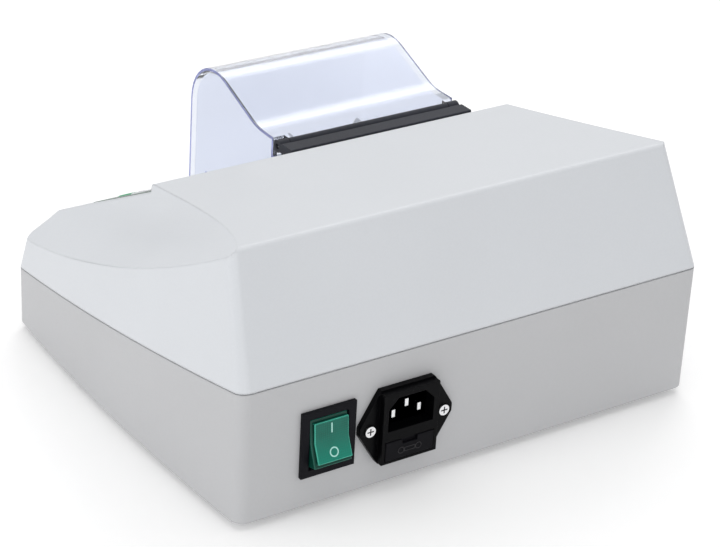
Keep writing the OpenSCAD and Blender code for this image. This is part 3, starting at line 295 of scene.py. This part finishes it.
def woundTape(name, colour):
    material, tree, shader = newMaterial(name)
    place = objectCoords(tree)
    wrap = addNode(tree, "ShaderNodeTexWave", wave_type="BANDS", bands_direction="Y", wave_profile="SAW")
    wrap.inputs["Scale"].default_value = 30
    link(tree, place, wrap.inputs["Vector"])
    link(tree, blendColours(tree, wrap.outputs["Fac"], shade(colour, 0.8), colour), shader.inputs["Base Color"])
    link(tree, remap(tree, noise(tree, place, 300, 2), 0.3, 0.5), shader.inputs["Roughness"])
    link(tree, bumpFrom(tree, wrap.outputs["Fac"], 0.4, 0.06 * mm), shader.inputs["Normal"])
    return material


def inkPrint(name, colour):
    material, tree, shader = newMaterial(name)
    place = objectCoords(tree)
    patch = remap(tree, noise(tree, place, 800, 2), 0, 0.15)
    link(tree, blendColours(tree, patch, colour, shade(colour, 0.8)), shader.inputs["Base Color"])
    link(tree, remap(tree, noise(tree, place, 1200, 1), 0.4, 0.55), shader.inputs["Roughness"])
    return material


finish = {
    "coverPlastic": mouldedPlastic(
        "coverPlastic", (0.665, 0.685, 0.715), rough=0.42, drift=0.012, gloss=0.4, rounding=1.5
    ),
    "basePlastic": mouldedPlastic(
        "basePlastic", (0.515, 0.518, 0.53), rough=0.5, drift=0.015, gloss=0.3, rounding=0.8
    ),
    "blackBar": mouldedPlastic(
        "blackBar", (0.034, 0.036, 0.046), rough=0.5, grainDepth=0.03, drift=0.1, gloss=0.12
    ),
    "switchBlack": mouldedPlastic("switchBlack", (0.0035, 0.0035, 0.006), rough=0.42, drift=0.12, gloss=0.1),
    "inletBlack": mouldedPlastic("inletBlack", (0.0015, 0.0015, 0.002), rough=0.34, drift=0.15, gloss=0.07),
    "drawerBlack": mouldedPlastic("drawerBlack", (0.003, 0.0028, 0.0045), rough=0.4, drift=0.15, gloss=0.08),
    "signBlack": mouldedPlastic("signBlack", (0.012, 0.0115, 0.014), rough=0.4, drift=0.1, gloss=0.3),
    "panelGrey": mouldedPlastic("panelGrey", (0.19, 0.25, 0.22), rough=0.45, drift=0.05),
    "trayGrey": mouldedPlastic("trayGrey", (0.50, 0.52, 0.55), rough=0.4, drift=0.04),
    "keyGrey": mouldedPlastic("keyGrey", (0.70, 0.71, 0.73), rough=0.32, drift=0.03),
    "keyGreen": mouldedPlastic("keyGreen", (0.03, 0.36, 0.16), rough=0.32, drift=0.05),
    "darkPlastic": mouldedPlastic("darkPlastic", (0.03, 0.03, 0.035), rough=0.45, drift=0.1),
    "partSleeves": mouldedPlastic("partSleeves", (0.05, 0.06, 0.12), rough=0.35, drift=0.25),
    "magnetDark": mouldedPlastic(
        "magnetDark", (0.05, 0.05, 0.055), rough=0.6, grain=700, grainDepth=0.06, drift=0.2
    ),
    "footRubber": rubberSkin("footRubber", (0.02, 0.02, 0.02)),
    "gasketRubber": rubberSkin("gasketRubber", (0.03, 0.03, 0.032), rough=0.65),
    "screwSteel": workedMetal("screwSteel", (0.62, 0.62, 0.64), rough=0.3),
    # Painted shade for the deep part of the screws' crosses
    "crossShade": workedMetal("crossShade", (0.10, 0.10, 0.11), rough=0.5),
    "brightSteel": workedMetal("brightSteel", (0.88, 0.88, 0.89), rough=0.16, lineDepth=0.004, stain=0.05),
    "turnedSteel": workedMetal("turnedSteel", (0.66, 0.67, 0.69), rough=0.22, stretch=(14, 1, 1), scale=260),
    "armAluminium": workedMetal("armAluminium", (0.74, 0.75, 0.77), rough=0.34, stretch=(1, 0.08, 1), scale=1200),
    "clipSteel": workedMetal("clipSteel", (0.70, 0.71, 0.73), rough=0.2, stretch=(0.1, 1, 1), scale=1400),
    "springWire": workedMetal("springWire", (0.50, 0.50, 0.52), rough=0.3),
    "terminalBrass": workedMetal("terminalBrass", (0.80, 0.62, 0.28), rough=0.26, stretch=(1, 0.1, 1)),
    "motorPlate": platedSheet("motorPlate", (0.60, 0.61, 0.63)),
    "bracketPlate": platedSheet("bracketPlate", (0.68, 0.69, 0.70), spangle=240),
    "coreSheets": laminations("coreSheets", (0.20, 0.20, 0.22)),
    "coilTape": woundTape("coilTape", (0.74, 0.58, 0.14)),
    "boardGreen": solderMask("boardGreen", (0.02, 0.17, 0.06)),
    "lidClear": clearSheet("lidClear", (0.80, 0.83, 0.91), rough=0.01, ior=1.12, haze=0.03, coat=1.0),
    "lidEdge": tintedEdge("lidEdge", (0.26, 0.29, 0.62)),
    "windowSmoke": clearSheet("windowSmoke", (0.35, 0.30, 0.30), rough=0.02, ior=1.45, haze=0.03),
    "fuseGlass": clearSheet("fuseGlass", (0.93, 0.96, 0.95), rough=0.02, ior=1.45, haze=0.02),
    # The cap is painted paler low down: painted light on its lower half, which faces up
    "rockerGreen": prismGreen("rockerGreen", (0.004, 0.135, 0.095), paintedLightFade=(0.027, 0.041)),
    # Lit and shaded copies of the rocker's green: a painted highlight for the cap's bevels, painted shade for the
    # skirt's bevels, the skirt and the sides
    "rockerRimPaintedHighlight": prismGreen("rockerRimPaintedHighlight", (0.055, 0.44, 0.32)),
    "rockerSkirtPaintedShade": prismGreen("rockerSkirtPaintedShade", (0.008, 0.11, 0.078)),
    "rockerSidePaintedShade": prismGreen("rockerSidePaintedShade", (0.002, 0.05, 0.034)),
    "markWhite": inkPrint("markWhite", (0.86, 0.88, 0.87)),
    "markPale": inkPrint("markPale", (0.42, 0.78, 0.70)),
    "segmentInk": inkPrint("segmentInk", (0.42, 0.06, 0.05)),
    "signInk": inkPrint("signInk", (0.10, 0.11, 0.12)),
}
print("materials made:", len(finish))

nodeFinish = {
    "top_cover": "coverPlastic",
    "base_shell": "basePlastic",
    "rubber_feet": "footRubber",
    "foot_screws": "screwSteel",
    "case_screws": "screwSteel",
    "hinge_bar": "blackBar",
    "hinge_bar_screws": "screwSteel",
    "hinge_pin": "turnedSteel",
    "lid_shell": "lidClear",
    "lid_magnet": "brightSteel",
    "lid_sensor": "darkPlastic",
    "mixing_well": "trayGrey",
    "slot_gasket": "gasketRubber",
    "swing_arm": "armAluminium",
    "capsule_clip": "clipSteel",
    "clip_screws": "screwSteel",
    "anchor_spring": "springWire",
    "spring_post": "turnedSteel",
    "motor_can": "motorPlate",
    "motor_end_cap": "motorPlate",
    "motor_magnets": "magnetDark",
    "rotor_core": "coreSheets",
    "motor_shaft": "turnedSteel",
    "shaft_bearings": "turnedSteel",
    "oblique_hub": "armAluminium",
    "hub_bearing": "turnedSteel",
    "hub_set_screw": "screwSteel",
    "motor_bracket": "bracketPlate",
    "motor_straps": "bracketPlate",
    "motor_dampers": "gasketRubber",
    "bracket_screws": "screwSteel",
    "control_panel": "panelGrey",
    "display_window": "windowSmoke",
    "display_module": "darkPlastic",
    "key_up": "keyGrey",
    "key_down": "keyGrey",
    "key_mode": "keyGrey",
    "key_start": "keyGreen",
    "key_switches": "darkPlastic",
    "control_board": "boardGreen",
    "board_screws": "screwSteel",
    "switch_body": "switchBlack",
    "switch_rocker": "rockerGreen",
    "switch_terminals": "terminalBrass",
    "inlet_body": "inletBlack",
    "inlet_pins": "brightSteel",
    "inlet_screws": "brightSteel",
    "inlet_nuts": "screwSteel",
    "fuse_drawer": "drawerBlack",
    "fuses": "fuseGlass",
    "transformer_core": "coreSheets",
    "transformer_coil": "coilTape",
    "transformer_screws": "screwSteel",
    "power_board": "boardGreen",
    "power_parts": "partSleeves",
}
for nodeName, finishName in nodeFinish.items():
    for place in nodes[nodeName].material_slots:
        place.material = finish[finishName]
print("nodes finished:", len(nodeFinish))


# Turns a bmesh into a mesh whose edges are sharp above an angle
def meshFrom(bm, name, smoothBelow):
    for face in bm.faces:
        face.smooth = True
    for edge in bm.edges:
        edge.smooth = edge.calc_face_angle(math.pi) < math.radians(smoothBelow)
    mesh = bpy.data.meshes.new(name)
    bm.to_mesh(mesh)
    bm.free()
    return mesh


def addPiece(name, mesh, body, finishName):
    piece = bpy.data.objects.new(name, mesh)
    bpy.context.collection.objects.link(piece)
    mesh.materials.append(finish[finishName])
    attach(piece, body)
    return piece


def pieceFromBmesh(name, bm, body, finishName, smoothBelow=35):
    bmesh.ops.recalc_face_normals(bm, faces=bm.faces)
    return addPiece(name, meshFrom(bm, name, smoothBelow), body, finishName)


def softenCorners(piece, width, segments, above=30):
    bevel = piece.modifiers.new("softCorners", "BEVEL")
    bevel.width = width * mm
    bevel.segments = segments
    bevel.limit_method = "ANGLE"
    bevel.angle_limit = math.radians(above)
    bevel.harden_normals = True
    return bevel


# Millimetres and degrees that hold for a copy unless its own dictionary says otherwise
copyLook = {"weld": 0.004, "flat": 0.4, "smoothBelow": 30, "bevelAbove": 35}


# A node's copy, welded, with its flat faces joined and its corners softened
def softenedCopy(nodeName, name, body, look, shape=None):
    look = copyLook | look
    bm = bmesh.new()
    bm.from_mesh(nodes[nodeName].data)
    bmesh.ops.remove_doubles(bm, verts=bm.verts, dist=look["weld"] * mm)
    bmesh.ops.dissolve_limit(bm, angle_limit=math.radians(look["flat"]), verts=bm.verts, edges=bm.edges)
    if shape:
        shape(bm, look)
    mesh = meshFrom(bm, name, look["smoothBelow"])
    if "custom_normal" in mesh.attributes:
        mesh.attributes.remove(mesh.attributes["custom_normal"])
    piece = addPiece(name, mesh, body, nodeFinish[nodeName])
    bevel = softenCorners(piece, look["corner"], look["segments"], look["bevelAbove"])
    bevel.miter_outer = "MITER_ARC"
    for extra in look.get("finishes", []):
        mesh.materials.append(finish[extra])
    weight = piece.modifiers.new("evenShading", "WEIGHTED_NORMAL")
    weight.keep_sharp = True
    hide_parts(nodeName)
    return piece


# The sheet's thickness shows as a coloured line round the lid's cheeks, and its barrel is black
def ringTheCheeks(bm, look):
    middle = middleOf("lid_shell").x
    axle = Vector((0, *look["axle"])) * mm
    cheeks = [
        face
        for face in bm.faces
        if abs(face.normal.x) > 0.99
        and face.calc_area() > look["cheekArea"] * mm * mm
        and (face.calc_center_median().x - middle) * face.normal.x > 0
    ]
    for cheek in cheeks:
        ring = bmesh.ops.inset_region(
            bm, faces=[cheek], thickness=look["ring"] * mm, use_even_offset=True
        )
        for face in ring["faces"]:
            onNose = cheek.normal.x < 0 and face.calc_center_median().y < look["nose"] * mm
            face.material_index = 0 if onNose else 1
    for face in bm.faces:
        fromAxle = face.calc_center_median() - axle
        if math.hypot(fromAxle.y, fromAxle.z) < look["barrel"] * mm:
            face.material_index = 2


caseLook = {
    "cover": {"corner": 0.8, "segments": 3, "smoothBelow": 24, "bevelAbove": 24},
    "base": {"corner": 0.5, "segments": 2},
    "bar": {"corner": 0.6, "segments": 3},
    "lid": {
        "corner": 0.5,
        "segments": 3,
        "smoothBelow": 40,
        "ring": 1.4,
        "nose": -112,
        "cheekArea": 900,
        "axle": (-32.752, 106.875),
        "barrel": 3.4,
        "finishes": ["lidEdge", "blackBar"],
    },
    "feet": {"corner": 0.6, "segments": 2},
}
softenedCopy("top_cover", "coverShell", "case", caseLook["cover"])
softenedCopy("base_shell", "baseShell", "case", caseLook["base"])
softenedCopy("hinge_bar", "hingeBarSkin", "case", caseLook["bar"])
softenedCopy("lid_shell", "clearLid", "lid", caseLook["lid"], ringTheCheeks)
softenedCopy("rubber_feet", "feetSkin", "case", caseLook["feet"])
print("case, bar, lid and feet softened")

frontLook = {
    "well": {"corner": 0.5, "segments": 2},
    "panel": {"corner": 0.35, "segments": 2},
    "window": {"corner": 0.2, "segments": 2},
    "key": {"corner": 0.45, "segments": 3, "smoothBelow": 40},
    "metal": {"corner": 0.15, "segments": 2, "smoothBelow": 40},
}
softenedCopy("mixing_well", "wellTray", "case", frontLook["well"])
softenedCopy("control_panel", "panelPlate", "case", frontLook["panel"])
softenedCopy("display_window", "windowPane", "case", frontLook["window"])
for key in ("up", "down", "mode", "start"):
    softenedCopy("key_" + key, key + "Button", key + "_key", frontLook["key"])
softenedCopy("swing_arm", "armBar", "arm", frontLook["metal"])
softenedCopy("capsule_clip", "clipJaws", "arm", frontLook["metal"])
print("well, panel, keys and arm softened")

panelLook = {
    "outward": (0, -0.465457, 0.88507),
    "upward": (0, 0.88507, 0.465457),
    "keySigns": {
        "up": [(0, 1.7), (-1.7, -1.1), (1.7, -1.1)],
        "down": [(0, -1.7), (1.7, 1.1), (-1.7, 1.1)],
        "mode": [(-1.5, -1.5), (1.5, -1.5), (1.5, 1.5), (-1.5, 1.5)],
        "start": [(1.9, 0), (-1.2, 1.8), (-1.2, -1.8)],
    },
    "lift": 0.03,
    "thick": 0.06,
    "faceDepth": 0.4,
    "digits": (-9.5, 0, 9.5),
    "digitSize": (5.6, 9.0),
    "stroke": 1.0,
    "strokeGap": 0.4,
}


# The middle of a node's face that looks out of the panel's slope
def slopeFace(nodeName, look):
    outward, upward = Vector(look["outward"]), Vector(look["upward"])
    points = [vert.co for vert in nodes[nodeName].data.vertices]
    top = max(point.dot(outward) for point in points)
    facing = [point for point in points if point.dot(outward) > top - look["faceDepth"] * mm]
    heights = [point.dot(upward) for point in facing]
    sides = [point.x for point in facing]
    middle = Vector(((min(sides) + max(sides)) / 2, 0, 0))
    return middle + outward * top + upward * (min(heights) + max(heights)) / 2


def slopeInk(name, centre, outlines, look, body, finishName):
    outward, upward = Vector(look["outward"]), Vector(look["upward"])
    bm = bmesh.new()
    for outline in outlines:
        places = [Vector((a, 0, 0)) + upward * b + outward * look["lift"] for a, b in outline]
        face = bm.faces.new([bm.verts.new(centre + place * mm) for place in places])
        face.normal_update()
        if face.normal.dot(outward) < 0:
            face.normal_flip()
    bmesh.ops.solidify(bm, geom=list(bm.faces), thickness=-look["thick"] * mm)
    return pieceFromBmesh(name, bm, body, finishName)


def dressPanel(look):
    for key, outline in look["keySigns"].items():
        slotName, ink = ("start_key_plastic", "markWhite") if key == "start" else ("key_plastic", "signInk")
        slopeInk(key + "Sign", slopeFace("key_" + key, look), [outline], look, key + "_key", ink)
    width, height = look["digitSize"]
    line = look["stroke"]
    bars = []
    for start in look["digits"]:
        for level in (-0.5, 0, 0.5):
            bars.append(rectangle(width - 2 * line, line, (start, level * height)))
        for side in (-0.5, 0.5):
            for level in (-0.25, 0.25):
                upright = height / 2 - line - look["strokeGap"]
                bars.append(rectangle(line, upright, (start + side * width, level * height)))
    slopeInk("unlitDigits", slopeFace("display_module", look), bars, look, "case", "segmentInk")


dressPanel(panelLook)
print("panel signs and digits made")

mainsLook = {
    "bezel": {"corner": 0.7, "segments": 3},
    "inlet": {"corner": 0.45, "segments": 3},
    "drawer": {"corner": 0.35, "segments": 2},
    "screws": {
        "corner": 0.18,
        "segments": 2,
        "crossTop": 0.25,
        "crossFloor": 2,
        "cross": 2.2,
        "finishes": ["crossShade"],
    },
    "pins": {"corner": 0.4, "segments": 3},
}
softenedCopy("switch_body", "switchBezel", "case", mainsLook["bezel"])
softenedCopy("inlet_body", "inletHousing", "case", mainsLook["inlet"])
softenedCopy("fuse_drawer", "drawerFront", "drawer", mainsLook["drawer"])


# The crosses in the screw heads get painted shade where they go deep
def paintShadeInCrosses(bm, look):
    front = max(vert.co.y for vert in bm.verts)
    screws = {}
    for vert in bm.verts:
        screws.setdefault(vert.co.x > middleOf("inlet_screws").x, []).append(vert.co)
    axles = [sum((Vector((co.x, 0, co.z)) for co in found), Vector()) / len(found) for found in screws.values()]
    for face in bm.faces:
        middle = face.calc_center_median()
        away = min(math.hypot(middle.x - axle.x, middle.z - axle.z) for axle in axles)
        inCross = look["crossTop"] * mm < front - middle.y < look["crossFloor"] * mm
        # Painted shade: faces deep in the cross take the dark finish
        if inCross and away < look["cross"] * mm:
            face.material_index = 1


# Each blade is turned a quarter about its own axle, so it stands on edge
def standOnEdge(bm, look):
    loose = set(bm.verts)
    while loose:
        blade, reached = [], [loose.pop()]
        while reached:
            vert = reached.pop()
            blade.append(vert)
            for edge in vert.link_edges:
                other = edge.other_vert(vert)
                if other in loose:
                    loose.remove(other)
                    reached.append(other)
        low = Vector([min(vert.co[k] for vert in blade) for k in range(3)])
        high = Vector([max(vert.co[k] for vert in blade) for k in range(3)])
        if high.x - low.x > high.z - low.z:
            turn = Matrix.Rotation(math.radians(90), 3, "Y")
            bmesh.ops.rotate(bm, verts=blade, cent=(low + high) / 2, matrix=turn)


softenedCopy("inlet_screws", "inletScrewHeads", "case", mainsLook["screws"], paintShadeInCrosses)
softenedCopy("inlet_pins", "inletBlades", "case", mainsLook["pins"], standOnEdge)
print("inlet softened")

rockerLook = {
    "pivot": (83, 110.47, 36.3),
    "tilt": 14,
    "end": 4.93,
    "middle": 3.33,
    "half": 9.7,
    "width": 17.9,
    "aside": -0.75,
    "root": 5,
    "belly": 8,
    "skirtBack": 1.1,
    "skirtHalf": 11.5,
    "skirtWidth": 19.4,
    "corner": 0.45,
    "opening": (19.9, 25.6),
    "frame": (28.06, 33.06),
    "frameBack": 0.1,
    "frameFront": 2.06,
    "frameCorner": 0.6,
    "sleeveDepth": 9,
    "onMark": {"along": 0.2, "size": (0.65, 4.7)},
    "offMark": {"along": 0.787, "radius": 2.3, "line": 0.6, "steps": 48},
    "markLift": 0.05,
    "markDepth": 0.12,
}


# From the rocker's own plane, tilted about its pivot, to the frame
def onRocker(look, x, y, z):
    tilt = math.radians(look["tilt"])
    turned = Vector((x, y * math.cos(tilt) - z * math.sin(tilt), y * math.sin(tilt) + z * math.cos(tilt)))
    return (turned + Vector(look["pivot"])) * mm


# A green block with a hollowed face: the cap and the skirt below it. The face takes the first finish, the bevels
# the second and the sides the third, so that painted highlight and painted shade can be laid on them
def rockerBlock(name, look, end, middle, half, width, aside, finishes):
    bm = bmesh.new()
    root, belly = -look["root"], -look["belly"]
    outline = [(root, half), (end, half), (middle, 0), (end, -half), (root, -half), (belly, 0)]
    left = aside - width / 2
    start = bm.faces.new([bm.verts.new(onRocker(look, left, y, z)) for y, z in outline])
    grown = bmesh.ops.extrude_face_region(bm, geom=[start])
    far = [item for item in grown["geom"] if isinstance(item, bmesh.types.BMVert)]
    bmesh.ops.translate(bm, verts=far, vec=(width * mm, 0, 0))
    bmesh.ops.recalc_face_normals(bm, faces=bm.faces)
    # The sides get the third finish, a darker green that is painted shade
    for face in bm.faces:
        if abs(face.normal.x) > 0.9:
            face.material_index = 2
    piece = pieceFromBmesh(name, bm, "rocker", finishes[0])
    for extra in finishes[1:]:
        piece.data.materials.append(finish[extra])
    bevel = softenCorners(piece, look["corner"], 3, above=40)
    bevel.material = 1
    return piece


# The bezel's frame, with a sleeve that goes in round the rocker
def frameRing(name, look):
    bm = bmesh.new()
    (wide, tall), (gapWide, gapTall) = look["frame"], look["opening"]
    back, front = look["frameBack"], look["frameFront"]
    inside = front - look["sleeveDepth"]
    verts = [bm.verts.new((x, back, z)) for x, z in rectangle(wide, tall)]
    edges = [bm.edges.new((verts[k - 1], verts[k])) for k in range(4)]
    # Round the section: outer back, outer front, opening's front, opening's end, outer back
    rings = [(wide, tall, back), (wide, tall, front), (gapWide, gapTall, front), (gapWide, gapTall, inside)]
    for (width, height, depth), (nextWidth, nextHeight, nextDepth) in zip(rings, rings[1:] + rings[:1]):
        made = bmesh.ops.extrude_edge_only(bm, edges=edges)["geom"]
        edges = [part for part in made if isinstance(part, bmesh.types.BMEdge) and part.is_boundary]
        verts = list({vert for edge in edges for vert in edge.verts})
        bmesh.ops.scale(bm, vec=(nextWidth / width, 1, nextHeight / height), verts=verts)
        bmesh.ops.translate(bm, vec=(0, nextDepth - depth, 0), verts=verts)
    bmesh.ops.remove_doubles(bm, verts=bm.verts, dist=0.01)
    bmesh.ops.transform(bm, matrix=Matrix.Scale(mm, 4) @ Matrix.Translation(look["pivot"]), verts=bm.verts)
    softenCorners(pieceFromBmesh(name, bm, "case", "switchBlack"), look["frameCorner"], 3)


# A raised mark: a filled outline, or the band between two rings
def rockerMark(name, look, outer, inner=None):
    bm = bmesh.new()
    for ring in filter(None, (outer, inner)):
        verts = [bm.verts.new(onRocker(look, *point)) for point in ring]
        for k in range(len(verts)):
            bm.edges.new((verts[k], verts[(k + 1) % len(verts)]))
    if inner:
        bmesh.ops.bridge_loops(bm, edges=bm.edges)
    else:
        bmesh.ops.contextual_create(bm, geom=bm.verts)
    bmesh.ops.recalc_face_normals(bm, faces=bm.faces)
    if sum(face.normal.y for face in bm.faces) < 0:
        bmesh.ops.reverse_faces(bm, faces=bm.faces)
    bmesh.ops.solidify(bm, geom=list(bm.faces), thickness=look["markDepth"] * mm)
    pieceFromBmesh(name, bm, "rocker", "markPale")


def makeSwitch(look):
    end, middle, half = look["end"], look["middle"], look["half"]
    # The cap: green face, bevels with a painted highlight, sides with painted shade
    capFinishes = ["rockerGreen", "rockerRimPaintedHighlight", "rockerSidePaintedShade"]
    cap = rockerBlock("rockerCap", look, end, middle, half, look["width"], look["aside"], capFinishes)
    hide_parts("switch_rocker")
    end, middle = end - look["skirtBack"], middle - look["skirtBack"]
    # The skirt is painted shade all over, as it lies in shade under the cap
    skirtFinishes = ["rockerSidePaintedShade", "rockerSkirtPaintedShade", "rockerSidePaintedShade"]
    rockerBlock("rockerSkirt", look, end, middle, look["skirtHalf"], look["skirtWidth"], 0, skirtFinishes)
    frameRing("bezelFrame", look)
    rise = (look["end"] - look["middle"]) / half

    # A point on the cap's face: across, and down from its top in half heights
    def onFace(x, along):
        z = half * (1 - 2 * along)
        return (x + look["aside"], look["middle"] + rise * abs(z) + look["markLift"], z)

    mark = look["onMark"]
    width, length = mark["size"]
    bar = rectangle(width, length / half / 2, (0, mark["along"]))
    rockerMark("onMark", look, [onFace(x, along) for x, along in bar])
    mark = look["offMark"]
    rings = []
    for radius in (mark["radius"], mark["radius"] - mark["line"]):
        points = circle(radius, mark["steps"])
        rings.append([onFace(a, mark["along"] + b / 2 / half) for a, b in points])
    rockerMark("offMark", look, *rings)


makeSwitch(rockerLook)
print("switch made")

symbolLook = {
    "rise": 0.18,
    "root": 0.2,
    "line": 0.35,
    "ball": 1.7,
    "ballSteps": 32,
    "gap": 9.4,
    "box": (6, 2.2),
    "down": 0.8,
}


# The fuse sign, moulded on the drawer's front: a long box between two rings
def makeFuseSign(look):
    low, high = (Vector(corner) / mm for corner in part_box("fuse_drawer"))
    x, z = (low.x + high.x) / 2, (low.z + high.z) / 2 - look["down"]
    bm = bmesh.new()
    shapes = [rectangle(*look["box"])]
    for side in (-1, 1):
        shapes.append(circle(look["ball"], look["ballSteps"], (side * look["gap"] / 2, 0)))
    for outline in shapes:
        outer = [bm.verts.new(Vector((x + a, high.y + look["rise"], z + b)) * mm) for a, b in outline]
        face = bm.faces.new(outer)
        face.normal_update()
        if face.normal.y < 0:
            face.normal_flip()
        made = bmesh.ops.inset_region(
            bm, faces=[face], use_boundary=True, thickness=look["line"] * mm, use_even_offset=True
        )
        bmesh.ops.delete(bm, geom=[face], context="FACES")
        bmesh.ops.solidify(bm, geom=made["faces"], thickness=(look["rise"] + look["root"]) * mm)
    pieceFromBmesh("fuseSign", bm, "drawer", "signBlack")


makeFuseSign(symbolLook)
print("fuse sign made")

# Place in millimetres, turns in degrees
cameraLook = {
    "place": (576.8, 842.2, 577.1),
    "yaw": 34.72,
    "pitch": 27.44,
    "roll": 3.03,
    "lens": 117.1,
    "sensor": 36,
    "clip": (0.01, 50),
}


def makeCamera(look):
    yaw, pitch, roll = (math.radians(look[key]) for key in ("yaw", "pitch", "roll"))
    ahead = Vector((-math.sin(yaw) * math.cos(pitch), -math.cos(yaw) * math.cos(pitch), -math.sin(pitch)))
    right = ahead.cross(Vector((0, 0, 1))).normalized()
    up = right.cross(ahead)
    turnedRight = math.cos(roll) * right + math.sin(roll) * up
    turnedUp = -math.sin(roll) * right + math.cos(roll) * up
    camera = bpy.data.objects.new("photoCamera", bpy.data.cameras.new("photoCamera"))
    bpy.context.collection.objects.link(camera)
    turn = Matrix((turnedRight, turnedUp, -ahead)).transposed().to_4x4()
    camera.matrix_world = Matrix.Translation(Vector(look["place"]) * mm) @ turn
    camera.data.lens = look["lens"]
    camera.data.sensor_width = look["sensor"]
    camera.data.clip_start, camera.data.clip_end = look["clip"]
    bpy.context.scene.camera = camera


makeCamera(cameraLook)

# Places and sizes in metres, powers in watts
studioLook = {
    "worldColour": (1.0, 1.0, 1.0),
    "worldStrength": 0.62,
    "boxes": [
        {
            "name": "overhead",
            "place": (0.1, 0.1, 1.7),
            "aim": (0, 0, 0.05),
            "size": (1.6, 1.6),
            "power": 6.4,
        },
        {
            "name": "frontStrip",
            "place": (-0.80, -0.88, 1.08),
            "aim": (-0.03, -0.07, 0.11),
            "size": (1.1, 0.45),
            "power": 6,
        },
        {
            "name": "rearSoft",
            "place": (0.9, 1.6, 0.9),
            "aim": (0, 0, 0.05),
            "size": (1.4, 1.2),
            "power": 5.6,
        },
        {
            "name": "sideSoft",
            "place": (1.9, -0.4, 0.7),
            "aim": (0, 0, 0.08),
            "size": (1.2, 1.2),
            "power": 7,
        },
    ],
    "floorSize": 6,
    "floorColour": (0.94, 0.94, 0.94),
    "floorGlow": 0.14,
}


def makeStudio(look):
    world = bpy.data.worlds.new("studioAir")
    world.use_nodes = True
    sky = world.node_tree.nodes["Background"]
    sky.inputs["Color"].default_value = (*look["worldColour"], 1)
    sky.inputs["Strength"].default_value = look["worldStrength"]
    bpy.context.scene.world = world
    for box in look["boxes"]:
        lamp = bpy.data.lights.new(box["name"], "AREA")
        lamp.shape = "RECTANGLE"
        lamp.size, lamp.size_y = box["size"]
        lamp.energy = box["power"]
        holder = bpy.data.objects.new(box["name"], lamp)
        bpy.context.collection.objects.link(holder)
        place = Vector(box["place"])
        facing = (Vector(box["aim"]) - place).to_track_quat("-Z", "Y").to_matrix().to_4x4()
        holder.matrix_world = Matrix.Translation(place) @ facing
    bm = bmesh.new()
    bmesh.ops.create_grid(bm, x_segments=2, y_segments=2, size=look["floorSize"])
    mesh = bpy.data.meshes.new("paleFloor")
    bm.to_mesh(mesh)
    bm.free()
    floor = bpy.data.objects.new("paleFloor", mesh)
    bpy.context.collection.objects.link(floor)
    paper = mouldedPlastic("floorPaper", look["floorColour"], rough=0.8, grain=300, drift=0.005)
    shader = paper.node_tree.nodes["Principled BSDF"]
    shader.inputs["Emission Color"].default_value = (1, 1, 1, 1)
    shader.inputs["Emission Strength"].default_value = look["floorGlow"]
    mesh.materials.append(paper)


makeStudio(studioLook)
bpy.context.scene.view_settings.view_transform = "Standard"
print("camera and studio ready")
